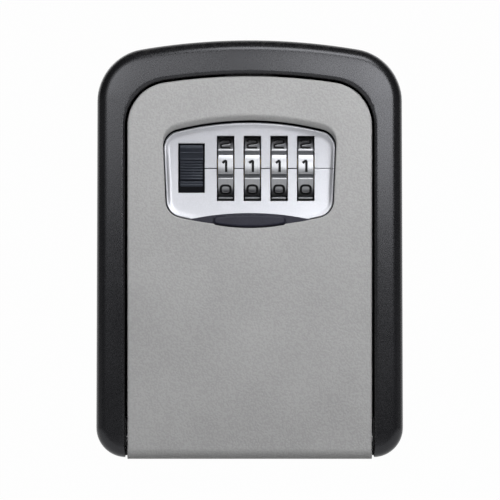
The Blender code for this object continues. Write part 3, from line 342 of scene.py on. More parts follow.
def prism(outline: ArchedOutline, y0: float, y1: float, front: float = 0.0, back: float = 0.0,
          inset: float = 0.0) -> bpy.types.Object:
    """Runs an outline through a depth, with rounded edges at its front and back.

    Args:
        outline: The front view.
        y0: Depth of the front face.
        y1: Depth of the back face.
        front: Radius of the front edge.
        back: Radius of the back edge.
        inset: How far the whole outline is moved inwards.

    Returns:
        The new solid.
    """
    crisp = [(0.0, 0.0)]
    steps = [(i, y0 + d) for i, d in (edge_round(front, FRONT_EDGE_STEPS) if front else crisp)]
    steps += [(i, y1 - d) for i, d in reversed(edge_round(back, BACK_EDGE_STEPS) if back else crisp)]
    return loft([outline.ring(inset + i, y) for i, y in steps])


def across(profile: list[complex], x0: float, x1: float) -> bpy.types.Object:
    """Runs a side view, Y and Z as complex numbers, straight across the width."""
    return loft([[Vector((x, p.real, p.imag)) for p in profile] for x in (x0, x1)])


def slab(x0: float, x1: float, y0: float, y1: float, z0: float, z1: float) -> bpy.types.Object:
    """Makes a cutting or backing block between six faces."""
    return across([complex(y0, z0), complex(y1, z0), complex(y1, z1), complex(y0, z1)], x0, x1)


def turned(steps: Iterable[tuple[float, float]], x: float, z: float,
           sides: int = ROUND_SIDES) -> bpy.types.Object:
    """Turns a shape about an axis along the depth.

    Args:
        steps: Depth and radius pairs.
        x: Place of the axis.
        z: Place of the axis.
        sides: Sides of each ring.

    Returns:
        The new solid.
    """
    turns = [2 * math.pi * i / sides for i in range(sides)]
    return loft([[Vector((x + r * math.cos(t), y, z + r * math.sin(t))) for t in turns] for y, r in steps])


def bar(radius: float, x0: float, x1: float, y: float, z: float) -> bpy.types.Object:
    """Makes a round cutter along the width."""
    return across(arc(complex(y, z), radius, 0, 2 * math.pi, ROUND_SIDES)[:-1], x0, x1)


def combine(target: bpy.types.Object, operation: str, *tools: bpy.types.Object) -> bpy.types.Object:
    """Applies a Boolean of each tool to the target and removes the tools.

    Args:
        target: The object that is kept.
        operation: Blender's name of the operation.
        *tools: The objects that are used up.

    Returns:
        The target.
    """
    for tool in tools:
        step = target.modifiers.new("combine", "BOOLEAN")
        step.operation = operation
        step.solver = "EXACT"
        step.object = tool
        graph = bpy.context.evaluated_depsgraph_get()
        result = bpy.data.meshes.new_from_object(target.evaluated_get(graph))
        target.modifiers.clear()
        target.data = result
        bpy.data.objects.remove(tool)
    return target


def cut(target: bpy.types.Object, *tools: bpy.types.Object) -> bpy.types.Object:
    """Takes the tools out of the target."""
    return combine(target, "DIFFERENCE", *tools)


def fuse(target: bpy.types.Object, *tools: bpy.types.Object) -> bpy.types.Object:
    """Adds the tools to the target as one body."""
    return combine(target, "UNION", *tools)


def ease_edges(obj: bpy.types.Object, width: float) -> None:
    """Rounds the crisp edges of a piece.

    Args:
        obj: The piece.
        width: Width of the rounding.
    """
    step = obj.modifiers.new("eased_edges", "BEVEL")
    step.width = width
    step.segments = 2
    step.limit_method = "ANGLE"
    step.angle_limit = SOFT_ANGLE


# Node tools


class NodeBench:
    """Adds and links the nodes of one tree."""

    def __init__(self, tree: bpy.types.NodeTree) -> None:
        """Takes the tree to work in."""
        self.tree = tree

    def add(self, kind: str, inputs: dict[str | int, object] | None = None,
            **settings: object) -> bpy.types.Node:
        """Adds a node and feeds its sockets.

        Args:
            kind: Blender's name of the node type.
            inputs: Values or sockets by the name or number of an input.
            **settings: Properties of the node.

        Returns:
            The node.
        """
        node = self.tree.nodes.new(kind)
        row, column = divmod(len(self.tree.nodes), NODE_ROW)
        node.location = (NODE_GRID[0] * column, NODE_GRID[1] * row)
        for name, value in settings.items():
            setattr(node, name, value)
        for key, value in (inputs or {}).items():
            self.feed(node.inputs[key], value)
        return node

    def feed(self, socket: bpy.types.NodeSocket, value: object) -> None:
        """Links a socket to an input, or sets its plain value.

        Args:
            socket: The input.
            value: The socket that feeds it, or a plain value.
        """
        if isinstance(value, bpy.types.NodeSocket):
            self.tree.links.new(value, socket)
        else:
            socket.default_value = value

    def maths(self, operation: str, *values: object, clamp: bool = False) -> bpy.types.NodeSocket:
        """Adds a Math node.

        Args:
            operation: Blender's name of the operation.
            *values: Its operands.
            clamp: Whether the result stays between 0 and 1.

        Returns:
            The result's socket.
        """
        inputs = dict(enumerate(values))
        return self.add("ShaderNodeMath", inputs, operation=operation, use_clamp=clamp).outputs[0]

    def spread(self, value: object, low: object, high: object, to_low: object = 0.0,
               to_high: object = 1.0) -> bpy.types.NodeSocket:
        """Maps a range of values smoothly onto another.

        Args:
            value: What is mapped.
            low: Start of the range.
            high: End of the range.
            to_low: What the start becomes.
            to_high: What the end becomes.

        Returns:
            The result's socket.
        """
        inputs = {"Value": value, "From Min": low, "From Max": high, "To Min": to_low, "To Max": to_high}
        return self.add("ShaderNodeMapRange", inputs, interpolation_type="SMOOTHSTEP").outputs[0]

    def mix(self, share: object, first: object, second: object) -> bpy.types.NodeSocket:
        """Mixes two colours.

        Args:
            share: Share of the second colour.
            first: First colour.
            second: Second colour.

        Returns:
            The mixed colour's socket.
        """
        return self.add("ShaderNodeMix", {0: share, 6: first, 7: second}, data_type="RGBA").outputs[2]

    def noise(self, place: object, scale: object, detail: float = 2.0) -> bpy.types.NodeSocket:
        """Adds a noise and gives its value.

        Args:
            place: Coordinates of the noise.
            scale: Waves in a metre.
            detail: Layers of finer noise.

        Returns:
            The value's socket.
        """
        inputs = {"Vector": place, "Scale": scale, "Detail": detail}
        return self.add("ShaderNodeTexNoise", inputs).outputs[0]

    def place(self) -> bpy.types.NodeSocket:
        """Gives the coordinates of the piece itself, in metres."""
        return self.add("ShaderNodeTexCoord").outputs["Object"]


class EffectGroup:
    """A shader node group that several finishes share."""

    def __init__(self, name: str, inputs: dict[str, str], outputs: dict[str, str],
                 fill: Callable[[NodeBench, bpy.types.NodeOutputs], dict[str, bpy.types.NodeSocket]]) -> None:
        """Builds the group once.

        Args:
            name: Name of the group.
            inputs: Names and kinds of its inputs.
            outputs: Names and kinds of its outputs.
            fill: Adds the nodes and gives the socket of each output.
        """
        self.tree = bpy.data.node_groups.new(name, "ShaderNodeTree")
        for names, way in ((inputs, "INPUT"), (outputs, "OUTPUT")):
            for label, kind in names.items():
                self.tree.interface.new_socket(label, in_out=way, socket_type=f"NodeSocket{kind}")
        bench = NodeBench(self.tree)
        sockets = fill(bench, bench.add("NodeGroupInput").outputs)
        bench.add("NodeGroupOutput", sockets)

    def place(self, bench: NodeBench, **values: object) -> bpy.types.NodeOutputs:
        """Puts the group into a material.

        Args:
            bench: Tree of the material.
            **values: Its inputs.

        Returns:
            The outputs of the group.
        """
        node = bench.add("ShaderNodeGroup", node_tree=self.tree)
        for label, value in values.items():
            bench.feed(node.inputs[label], value)
        return node.outputs


def fill_edge_wear(bench: NodeBench, given: bpy.types.NodeOutputs) -> dict[str, bpy.types.NodeSocket]:
    """Finds worn edges where a rounded normal leaves the true one, broken up by noise.

    Args:
        bench: Tree of the group.
        given: Inputs of the group.

    Returns:
        The mask of the wear and the softened normal.
    """
    rounded = bench.add("ShaderNodeBevel", {"Radius": given["Radius"]}, samples=6).outputs[0]
    true = bench.add("ShaderNodeNewGeometry").outputs["Normal"]
    same = bench.add("ShaderNodeVectorMath", {0: rounded, 1: true}, operation="DOT_PRODUCT").outputs["Value"]
    edge = bench.spread(bench.maths("SUBTRACT", 1.0, same), *WEAR_EDGE)
    patches = bench.spread(bench.noise(bench.place(), given["Scale"], 4.0), *WEAR_PATCHES)
    worn = bench.maths("MULTIPLY", bench.maths("MULTIPLY", edge, patches), given["Amount"], clamp=True)
    return {"Mask": worn, "Normal": rounded}


def fill_grain(bench: NodeBench, given: bpy.types.NodeOutputs) -> dict[str, bpy.types.NodeSocket]:
    """Makes a pebbled or brushed relief from two noises, and a slow drift of tone.

    Args:
        bench: Tree of the group.
        given: Inputs of the group.

    Returns:
        The height, the tone of the grain and the slow drift.
    """
    inputs = {0: bench.place(), 1: given["Stretch"]}
    place = bench.add("ShaderNodeVectorMath", inputs, operation="MULTIPLY").outputs["Vector"]
    coarse = bench.spread(bench.noise(place, given["Scale"], 1.0), *COARSE_RANGE)
    fine = bench.noise(place, bench.maths("MULTIPLY", given["Scale"], FINE_GRAIN), 2.0)
    height = bench.add("ShaderNodeMix", {0: given["Fine"], 2: coarse, 3: fine}).outputs[0]
    drift = bench.spread(bench.noise(bench.place(), DRIFT_SCALE, 3.0), *DRIFT_RANGE)
    return {"Height": height, "Tone": bench.spread(height, *TONE_RANGE), "Drift": drift}


def fill_dust(bench: NodeBench, given: bpy.types.NodeOutputs) -> dict[str, bpy.types.NodeSocket]:
    """Lays thin patchy dust on faces that look up.

    Args:
        bench: Tree of the group.
        given: Inputs of the group.

    Returns:
        The mask of the dust.
    """
    normal = bench.add("ShaderNodeNewGeometry").outputs["Normal"]
    rise = bench.add("ShaderNodeSeparateXYZ", {0: normal}).outputs["Z"]
    lying = bench.spread(rise, *DUST_SLOPE)
    specks = bench.spread(bench.noise(bench.place(), given["Scale"], 6.0), *DUST_SPECKS)
    dusty = bench.maths("MULTIPLY", bench.maths("MULTIPLY", lying, specks), given["Amount"], clamp=True)
    return {"Mask": dusty}


class Effects:
    """The shared effects, each built once."""

    def __init__(self) -> None:
        """Builds the node groups."""
        self.wear = EffectGroup("edge_wear", {"Radius": "Float", "Scale": "Float", "Amount": "Float"},
                                {"Mask": "Float", "Normal": "Vector"}, fill_edge_wear)
        self.grain = EffectGroup("surface_grain", {"Scale": "Float", "Fine": "Float", "Stretch": "Vector"},
                                 {"Height": "Float", "Tone": "Float", "Drift": "Float"}, fill_grain)
        self.dust = EffectGroup("settled_dust", {"Scale": "Float", "Amount": "Float"}, {"Mask": "Float"},
                                fill_dust)


# Finishes


class Grain(Enum):
    """How the relief of a finish runs: pebbled, or drawn out along one way."""

    PEBBLED = (1.0, 1.0, 1.0)
    BRUSHED_ACROSS = (0.05, 1.0, 1.0)
    BRUSHED_UP = (1.0, 1.0, 0.05)
    TURNED = (1.0, 0.03, 0.03)


@dataclass(frozen=True)
class Finish:
    """A surface finish with its grain, tone, worn edges and dust."""

    name: str
    dark: Colour
    light: Colour
    worn: Colour
    gloss: tuple[float, float]
    metallic: float = 0.0
    specular: float = 0.5
    tint: Colour = (1.0, 1.0, 1.0)
    grain: Grain = Grain.PEBBLED
    scale: float = 1500.0
    fine: float = 0.35
    relief: float = 0.00002
    strength: float = 0.5
    edge: float = 0.0003
    wear: float = 0.5
    dust: float = 0.08

    def build(self, effects: Effects) -> bpy.types.Material:
        """Makes the material.

        Args:
            effects: The shared node groups.

        Returns:
            The material.
        """
        material = bpy.data.materials.new(self.name)
        material.use_nodes = True
        bench = NodeBench(material.node_tree)
        shader = material.node_tree.nodes["Principled BSDF"]
        wear = effects.wear.place(bench, Radius=self.edge, Scale=WEAR_SCALE, Amount=self.wear)
        grain = effects.grain.place(bench, Scale=self.scale, Fine=self.fine, Stretch=self.grain.value)
        dust = effects.dust.place(bench, Scale=DUST_SCALE, Amount=self.dust)
        tone = bench.maths("ADD", bench.maths("MULTIPLY", grain["Tone"], GRAIN_SHARE),
                           bench.maths("MULTIPLY", grain["Drift"], DRIFT_SHARE))
        colour = bench.mix(tone, (*self.dark, 1.0), (*self.light, 1.0))
        colour = bench.mix(wear["Mask"], colour, (*self.worn, 1.0))
        colour = bench.mix(dust["Mask"], colour, DUST_COLOUR)
        rough = bench.spread(tone, 0.0, 1.0, *self.gloss)
        rough = bench.maths("ADD", rough, bench.maths("MULTIPLY", dust["Mask"], DUST_ROUGHNESS), clamp=True)
        inputs = {"Height": grain["Height"], "Normal": wear["Normal"], "Distance": self.relief,
                  "Strength": self.strength}
        bump = bench.add("ShaderNodeBump", inputs)
        for label, value in (("Base Color", colour), ("Roughness", rough), ("Normal", bump.outputs[0]),
                             ("Metallic", self.metallic), ("Specular IOR Level", self.specular),
                             ("Specular Tint", (*self.tint, 1.0))):
            bench.feed(shader.inputs[label], value)
        return material


class Coat(Enum):
    """The finishes of the lock box, named after the slots of the record where they have one."""

    case_paint = Finish("black_powder_coat", (0.015, 0.015, 0.017), (0.024, 0.024, 0.026),
                        (0.12, 0.12, 0.12), (0.5, 0.62), scale=1100.0, relief=0.00004, wear=0.35)
    surround_plastic = Finish("satin_black_moulding", (0.0042, 0.0042, 0.005), (0.007, 0.007, 0.008),
                              (0.04, 0.04, 0.043), (0.25, 0.29), specular=0.5, tint=(0.93, 0.94, 1.0),
                              scale=2600.0, relief=0.0000015, strength=0.3, edge=0.0004, wear=0.25,
                              dust=0.05)
    door_paint = Finish("textured_grey_paint", (0.31, 0.31, 0.312), (0.375, 0.375, 0.377),
                        (0.45, 0.45, 0.44), (0.46, 0.56), scale=1700.0, relief=0.00008, strength=0.6,
                        edge=0.0003, wear=0.4, dust=0.06)
    silver_fascia = Finish("satin_silver_paint", (0.385, 0.391, 0.42), (0.44, 0.447, 0.48),
                           (0.70, 0.71, 0.74), (0.34, 0.40), metallic=0.7, scale=4200.0,
                           relief=0.000006, edge=0.00025, wear=0.35, dust=0.03)
    inner_plastic = Finish("matt_black_moulding", (0.018, 0.018, 0.02), (0.03, 0.03, 0.032),
                           (0.09, 0.09, 0.09), (0.5, 0.62), scale=1900.0, relief=0.00002, wear=0.3)
    cover_paint = Finish("black_paint", (0.024, 0.024, 0.026), (0.036, 0.036, 0.038),
                         (0.3, 0.3, 0.3), (0.38, 0.5), scale=1500.0, relief=0.00003, wear=0.6)
    dial_chrome = Finish("satin_chrome", (0.29, 0.295, 0.312), (0.33, 0.336, 0.352), (0.48, 0.48, 0.50),
                         (0.28, 0.34), metallic=0.9, grain=Grain.TURNED, scale=5200.0, relief=0.0000012,
                         edge=0.0002, wear=0.3, dust=0.02)
    sleeve_brass = Finish("turned_brass", (0.30, 0.215, 0.09), (0.40, 0.30, 0.14), (0.6, 0.47, 0.25),
                          (0.26, 0.4), metallic=1.0, grain=Grain.TURNED, scale=3800.0, relief=0.000008,
                          wear=0.5, dust=0.0)
    steel = Finish("zinc_plated_steel", (0.42, 0.42, 0.44), (0.58, 0.58, 0.595), (0.7, 0.7, 0.7),
                   (0.26, 0.42), metallic=1.0, grain=Grain.BRUSHED_ACROSS, scale=3600.0, relief=0.000008,
                   wear=0.5, dust=0.03)
    shutter_plastic = Finish("satin_slate_moulding", (0.012, 0.012, 0.023), (0.019, 0.019, 0.033),
                             (0.07, 0.07, 0.08), (0.44, 0.54), specular=0.28, scale=2400.0,
                             relief=0.000015, wear=0.35)
    release_plastic = Finish("satin_blue_black_moulding", (0.005, 0.0058, 0.0095), (0.009, 0.010, 0.0155),
                             (0.13, 0.14, 0.18), (0.34, 0.44), specular=0.4, tint=(0.78, 0.86, 1.0),
                             scale=2600.0, relief=0.00001, edge=0.0002, wear=0.8, dust=0.03)
    blackened_steel = Finish("blackened_steel", (0.022, 0.022, 0.024), (0.034, 0.034, 0.036),
                             (0.30, 0.30, 0.30), (0.4, 0.52), metallic=0.6, grain=Grain.BRUSHED_UP,
                             scale=3200.0, relief=0.00001, wear=0.3, dust=0.0)
    # Painted shade: a dark grey on the floors and walls of the grooves between the dial pads, where shade
    # falls on the metal.
    groove_paint = Finish("painted_shadow_grey", (0.045, 0.048, 0.055), (0.075, 0.079, 0.088),
                          (0.12, 0.12, 0.13), (0.45, 0.6), specular=0.3, scale=5200.0, relief=0.000003,
                          wear=0.1, dust=0.0)
    # Painted shade: a dead black for the groove round the fascia plate, its slot walls and index notches, and
    # the flange behind the thumb release, where these recesses lie in shadow.
    recess_black = Finish("painted_shade_black", (0.003, 0.0035, 0.005), (0.005, 0.0055, 0.0075),
                          (0.012, 0.012, 0.014), (0.75, 0.85), specular=0.1, scale=2600.0,
                          relief=0.00001, wear=0.1, dust=0.0)
    digit_ink = Finish("black_digit_ink", (0.004, 0.004, 0.005), (0.008, 0.008, 0.009),
                       (0.02, 0.02, 0.02), (0.6, 0.75), specular=0.2, scale=5200.0, relief=0.000004,
                       wear=0.1, dust=0.0)


class PaintShop:
    """Keeps one material for each finish."""

    def __init__(self) -> None:
        """Builds the effects and the materials."""
        effects = Effects()
        self.materials = {coat: coat.value.build(effects) for coat in Coat}

    def dress(self, obj: bpy.types.Object, *coats: Coat) -> None:
        """Gives a piece its finishes, in slot order.

        Args:
            obj: The piece.
            *coats: Its finishes.
        """
        if obj.data.materials:
            obj.data.materials.clear()
        for coat in coats:
            obj.data.materials.append(self.materials[coat])

    def install(self, obj: bpy.types.Object, node: str, slot: Coat, *coats: Coat,
                name: str) -> bpy.types.Object:
        """Sets a built piece in the place of a node of the frame.

        Args:
            obj: The built piece, in place.
            node: The node that it stands for.
            slot: The record's slot of its finish.
            *coats: Its finishes, or none where the slot's own is the only one.
            name: Name of the piece.

        Returns:
            The piece.
        """
        obj.name = name
        obj.data.name = obj.name
        self.dress(obj, *(coats or (slot,)))
        obj.data.shade_smooth()
        obj.data.set_sharp_from_angle(angle=SOFT_ANGLE)
        level = obj.modifiers.new("level_faces", "WEIGHTED_NORMAL")
        level.keep_sharp = True
        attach(obj, frame["nodes"][node]["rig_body"])
        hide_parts(node)
        LOG.info("%s stands for %s in %s", obj.name, node, slot.value.name)
        return obj


# Surround


@dataclass
class Surround:
    """Moulded cover with a softly crowned front on three sides."""

    wall: float = 0.0025
    flange_back: float = -0.037
    front_round: float = 0.0034
    face_tilt: float = math.radians(5)
    face_width: float = 0.0078
    round_steps: int = 10
    face_steps: int = 8
    lip_steps: int = 6
    back_round: float = 0.0004
    lip: float = 0.0011
    door_gap: float = 0.0007
    hinge_level: float = -0.054
    swing_back: float = -0.0265
    lug_middle: float = -0.0185
    lug_level: float = 0.022
    lug_size: Vector = field(default_factory=lambda: Vector((0.0008, 0.003, 0.010)))

    def body(self) -> bpy.types.Object:
        """Lofts the outside, from the back edge over the front round to the crowned face.

        Returns:
            The solid before its mouth is cut.
        """
        low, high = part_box("outer_surround")
        outline = surround_outline()
        rings = [outline.ring(inset, high.y - depth)
                 for inset, depth in edge_round(self.back_round, SIDE_EDGE_STEPS)]
        drop = math.tan(self.face_tilt) * self.face_width / 2
        sweep = math.pi / 2 - self.face_tilt
        centre = low.y + drop + self.front_round * math.sin(sweep)
        for i in range(self.round_steps + 1):
            turn = sweep * i / self.round_steps
            rings.append(outline.ring(self.front_round * (1 - math.cos(turn)),
                                      centre - self.front_round * math.sin(turn)))
        start = self.front_round * (1 - math.cos(sweep))
        for i in range(1, self.face_steps + 1):
            share = i / self.face_steps
            rings.append(outline.ring(start + self.face_width * share, low.y + drop * (1 - share) ** 2))
        return loft(rings)

    def mouth(self) -> bpy.types.Object:
        """Lofts the cutter of the door's opening, flared to leave a rounded lip.

        Returns:
            The cutter.
        """
        front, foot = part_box("outer_surround")[0].y, CAD_BOX[0][2]
        outline = door_outline(foot - 2 * OVERCUT)
        rings = [outline.ring(-self.door_gap - self.lip, front - OVERCUT)]
        for inset, depth in edge_round(self.lip, self.lip_steps):
            rings.append(outline.ring(-self.door_gap - inset, front + depth))
        rings.append(outline.ring(-self.door_gap, self.flange_back + OVERCUT))
        return loft(rings)

    def lug(self, side: int, level: int) -> bpy.types.Object:
        """Makes one of the catches that hold the surround on the case.

        Args:
            side: -1 at the left, 1 at the right.
            level: -1 below the middle, 1 above it.

        Returns:
            The catch, rooted in the wall.
        """
        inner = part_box("outer_surround")[1].x - self.wall
        x0, x1 = sorted((side * (inner + self.wall / 2), side * (inner - self.lug_size.x)))
        z, half = level * self.lug_level, self.lug_size / 2
        return slab(x0, x1, self.lug_middle - half.y, self.lug_middle + half.y, z - half.z, z + half.z)

    def build(self, shop: PaintShop) -> None:
        """Builds and dresses the surround.

        Args:
            shop: Where it gets its finish.
        """
        foot = CAD_BOX[0][2]
        pocket = loft([surround_outline().ring(self.wall, y) for y in (self.flange_back, OVERCUT)])
        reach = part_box("door_panel")[1].x + self.door_gap
        swing = slab(-reach, reach, CAD_BOX[0][1] - OVERCUT, self.swing_back, foot - OVERCUT,
                     self.hinge_level)
        body = cut(self.body(), self.mouth(), pocket, swing)
        fuse(body, *(self.lug(side, level) for side in (-1, 1) for level in (-1, 1)))
        shop.install(body, "outer_surround", Coat.surround_plastic, name="moulded_surround")


# Door


@dataclass
class Door:
    """Die-cast door with a rounded rim, a browed window and a rolled foot."""

    wall_back: float = -0.0375
    rim_back: float = -0.0295
    rim: float = 0.002
    edge: float = 0.0006
    foot_round: float = 0.0032
    hinge: complex = complex(-0.033, -0.054)
    hinge_reach: float = 0.006
    foot_skin: float = 0.002
    knuckle: float = 0.013
    pin_bore: float = 0.0015
    pocket_foot: float = -0.0462
    guide: tuple[float, float] = (0.0267, 0.0277)
    guide_span: tuple[float, float] = (-0.021, 0.0345)
    boss_back: float = -0.0337
    boss_radius: float = 0.0026
    boss_bore: float = 0.0013
    boss_flare: float = 0.0005
    boss_root: float = 0.0006
    boss_places: tuple[tuple[float, float], ...] = ((0.0286, 0.0403), (0.022, -0.0258))
    brow: float = 0.0016
    brow_slope: float = 0.85
    window_edge: float = 0.00035
    slot: tuple[float, float, float] = (0.0073, -0.0324, -0.0302)
    foot_steps: int = 14
    barrel_steps: int = 32
    bowl_steps: int = 20
    brow_steps: int = 10

    def side_view(self) -> list[complex]:
        """Draws the door from the side: its rounded foot, hinge barrel and back edge.

        Returns:
            Y and Z as complex numbers.
        """
        low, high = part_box("door_panel")
        corner = complex(low.y + self.foot_round, low.z + self.foot_round)
        view = arc(corner, self.foot_round, math.pi, 1.5 * math.pi, self.foot_steps)
        view += arc(self.hinge, self.hinge_reach, -math.pi / 2, math.pi / 2, self.barrel_steps)
        top = high.z + OVERCUT
        view += [complex(self.rim_back, self.hinge.imag + self.hinge_reach), complex(self.rim_back, top)]
        return view + [complex(low.y - FIT, top), complex(low.y - FIT, low.z + 2 * self.foot_round)]

    def foot_core(self) -> list[complex]:
        """Draws the hollow between the two knuckles from the side.

        Returns:
            Y and Z as complex numbers.
        """
        radius = self.hinge_reach - self.foot_skin
        back = self.hinge.real + self.hinge_reach + OVERCUT
        bowl = arc(self.hinge, radius, math.pi, 2 * math.pi, self.bowl_steps)
        high = self.pocket_foot + OVERCUT
        return bowl + [complex(back, self.hinge.imag), complex(back, high),
                       complex(self.hinge.real - radius, high)]

    def window(self) -> bpy.types.Object:
        """Lofts the cutter of the window, with its sloping brow and eased front edge.

        Returns:
            The cutter.
        """
        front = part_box("door_panel")[0].y
        rings = [window_outline(self.brow).ring(-self.window_edge, front - OVERCUT)]
        for inset, bulge in edge_round(1.0, self.brow_steps):
            share = self.brow_slope * (1 - inset) + (1 - self.brow_slope) * bulge
            depth = (self.wall_back - front) * share
            edge = min(1.0, depth / self.window_edge)
            flare = self.window_edge * (1 - math.sqrt(1 - (1 - edge) ** 2))
            rings.append(window_outline(self.brow * inset).ring(-flare, front + depth))
        rings.append(window_outline().ring(0.0, self.boss_back))
        return loft(rings)

    def add_bosses(self, body: bpy.types.Object) -> None:
        """Adds the guides of the shutter and the bosses of the lock to the back of the door.

        Args:
            body: The door, which is changed.
        """
        root = (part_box("door_panel")[0].y + self.wall_back) / 2
        for side in (-1, 1):
            x0, x1 = sorted(side * x for x in self.guide)
            fuse(body, slab(x0, x1, root, self.boss_back, *self.guide_span))
            for x, z in self.boss_places:
                flare = [(root, self.boss_radius + self.boss_root),
                         (self.wall_back, self.boss_radius + self.boss_flare),
                         (self.wall_back + self.boss_flare, self.boss_radius),
                         (self.boss_back, self.boss_radius)]
                fuse(body, turned(flare, side * x, z))
            for x, z in self.boss_places:
                bore = [(self.wall_back, self.boss_bore), (self.rim_back, self.boss_bore)]
                cut(body, turned(bore, side * x, z, BORE_SIDES))

    def build(self, shop: PaintShop) -> None:
        """Builds and dresses the door.

        Args:
            shop: Where it gets its finish.
        """
        low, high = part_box("door_panel")
        body = prism(door_outline(low.z - 2 * OVERCUT), low.y, high.y + OVERCUT, front=self.edge)
        combine(body, "INTERSECT", across(self.side_view(), -high.x - OVERCUT, high.x + OVERCUT))
        pocket = door_outline(self.pocket_foot - self.rim)
        cut(body, prism(pocket, self.wall_back, self.rim_back + OVERCUT, inset=self.rim))
        reach = high.x - self.knuckle
        cut(body, across(self.foot_core(), -reach, reach))
        cut(body, bar(self.pin_bore, -high.x - OVERCUT, high.x + OVERCUT, self.hinge.real, self.hinge.imag))
        self.add_bosses(body)
        half, front, back = self.slot
        notch = prism(grip_outline(), low.y - OVERCUT, self.wall_back + OVERCUT / 2, inset=-FIT)
        bolt_slot = slab(-half, half, front, back, high.z - 2 * self.rim, high.z + OVERCUT)
        cut(body, self.window(), notch, bolt_slot)
        shop.install(body, "door_panel", Coat.door_paint, name="cast_door")


# Fascia


@dataclass
class Fascia:
    """Silver plate behind the window, slightly dished, with slots for the dials and the release."""

    lap: float = 0.0012
    groove: float = 0.00012
    groove_depth: float = 0.0010
    top_gap: float = 0.00035
    rim_edge: float = 0.0003
    rim_steps: int = 4
    dish_width: float = 0.0045
    dish_steps: int = 10
    dish_spread: float = 1.6
    side_steps: int = 14
    dish_edge: float = 0.0013
    dish: float = 0.0006
    dial_slot: tuple[float, float] = (0.0025, 0.00935)
    release_slot: tuple[float, float, float] = (0.0038, 0.0163, 0.0305)
    release_x: float = -0.0167
    line_half: float = 0.0002
    line_depth: float = 0.0004
    eased: float = 0.0001

    def plate(self) -> bpy.types.Object:
        """Lofts the dished plate inside its shadow groove.

        Returns:
            The solid before its slots are cut.
        """
        low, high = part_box("bezel")
        base, face = (replace(window_outline(lift), side_steps=self.side_steps)
                      for lift in (0.0, -self.top_gap))
        step = low.y + self.groove_depth
        rings = [base.ring(-self.lap, high.y), base.ring(-self.lap, step), face.ring(self.groove, step)]
        for inset, depth in reversed(edge_round(self.rim_edge, self.rim_steps)):
            rings.append(face.ring(self.groove + inset, low.y + depth))
        start, level = self.groove + self.rim_edge, (face.top + face.foot) / 2
        for i in range(1, self.dish_steps + 1):
            inset = self.dish_width * (i / self.dish_steps) ** self.dish_spread
            edge = min(1.0, inset / self.dish_edge)
            ring = face.ring(start + inset, low.y)
            for point in ring:
                rise = 2 * (point.z - level) / (face.top - face.foot)
                point.y += self.dish * edge * edge * (3 - 2 * edge) * (1 - rise * rise)
            rings.append(ring)
        return loft(rings, strips=True)

    def build(self, shop: PaintShop) -> None:
        """Builds and dresses the fascia.

        Args:
            shop: Where it gets its finishes.
        """
        low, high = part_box("bezel")
        y0, y1 = low.y - OVERCUT, high.y + OVERCUT
        body = self.plate()
        half, tall = self.dial_slot
        level = NumberDials.axis(1).z
        edges = [self.release_x + self.release_slot[0]]
        for number in NumberDials.numbers:
            x = NumberDials.axis(number).x
            cut(body, slab(x - half, x + half, y0, y1, level - tall, level + tall))
            edges += [x - half, x + half]
        edges.append(high.x - 2 * self.lap)
        wide, foot, top = self.release_slot
        cut(body, slab(self.release_x - wide, self.release_x + wide, y0, y1, foot, top))
        notch = [complex(low.y - self.line_depth, level + 2 * self.line_half),
                 complex(low.y + self.dish + self.line_depth, level),
                 complex(low.y - self.line_depth, level - 2 * self.line_half)]
        for x0, x1 in zip(edges[::2], edges[1::2]):
            cut(body, across(notch, x0 - FIT, x1 + FIT))
        # The faces in the groove round the plate, the slot walls and the index notches take the dead black:
        # painted shade in these recesses.
        for face in body.data.polygons:
            if self.dish + FIT / 10 < face.center.y - low.y < self.groove_depth + FIT / 10:
                face.material_index = 1
        ease_edges(body, self.eased)
        shop.install(body, "bezel", Coat.silver_fascia, Coat.silver_fascia, Coat.recess_black,
                     name="silver_fascia_plate")


# Dials


@dataclass(frozen=True)
class Stroke:
    """One line of a digit through points of a box one wide and one high, with rounded corners."""

    points: tuple[tuple[float, float], ...]
    closed: bool = False

    def path(self, width: float, height: float, radius: float) -> list[complex]:
        """Runs along the line at its real size.

        Args:
            width: Width of the digit.
            height: Height of the digit.
            radius: Reach of the rounding at a corner.

        Returns:
            Points across and up the pad.
        """
        knots = [complex(x * width, z * height) for x, z in self.points]
        count = len(knots)
        path = []
        for i, knot in enumerate(knots):
            if not self.closed and i in (0, count - 1):
                path.append(knot)
                continue
            before, after = knots[i - 1] - knot, knots[(i + 1) % count] - knot
            reach = min(radius, abs(before) / 2, abs(after) / 2)
            start, end = knot + before / abs(before) * reach, knot + after / abs(after) * reach
            path += [start * (1 - t) ** 2 + knot * 2 * t * (1 - t) + end * t * t
                     for t in BEND_SHARES]
        ends = path[1:] + path[:1] if self.closed else path[1:]
        fine = []
        for start, end in zip(path, ends):
            pieces = max(1, round(abs(end - start) / PEN_STEP))
            fine += [start + (end - start) * i / pieces for i in range(pieces)]
        return fine if self.closed else fine + path[-1:]


DIGITS: tuple[tuple[Stroke, ...], ...] = (
    (Stroke(((-.5, -.47), (.5, -.47), (.5, .47), (-.5, .47)), True),),
    (Stroke(((-.32, .3), (.06, .6), (.06, -.6))),),
    (Stroke(((-.5, .24), (-.5, .5), (.5, .5), (.5, .06), (-.5, -.1), (-.5, -.5), (.5, -.5))),),
    (Stroke(((-.5, .5), (.5, .5), (.5, .03), (-.2, .03))),
     Stroke(((-.2, .03), (.5, .03), (.5, -.5), (-.5, -.5)))),
    (Stroke(((.22, -.5), (.22, .5), (-.5, -.2), (.5, -.2))),),
    (Stroke(((.46, .5), (-.46, .5), (-.46, .08), (.5, .08), (.5, -.5), (-.5, -.5))),),
    (Stroke(((.42, .5), (-.5, .5), (-.5, -.5), (.5, -.5), (.5, .06), (-.5, .06))),),
    (Stroke(((-.5, .5), (.5, .5), (-.06, -.5))),),
    (Stroke(((-.44, .04), (.44, .04), (.44, .5), (-.44, .5)), True),
     Stroke(((-.5, -.5), (.5, -.5), (.5, .04), (-.5, .04)), True)),
    (Stroke(((-.42, -.5), (.5, -.5), (.5, .5), (-.5, .5), (-.5, -.04), (.5, -.04))),),
)


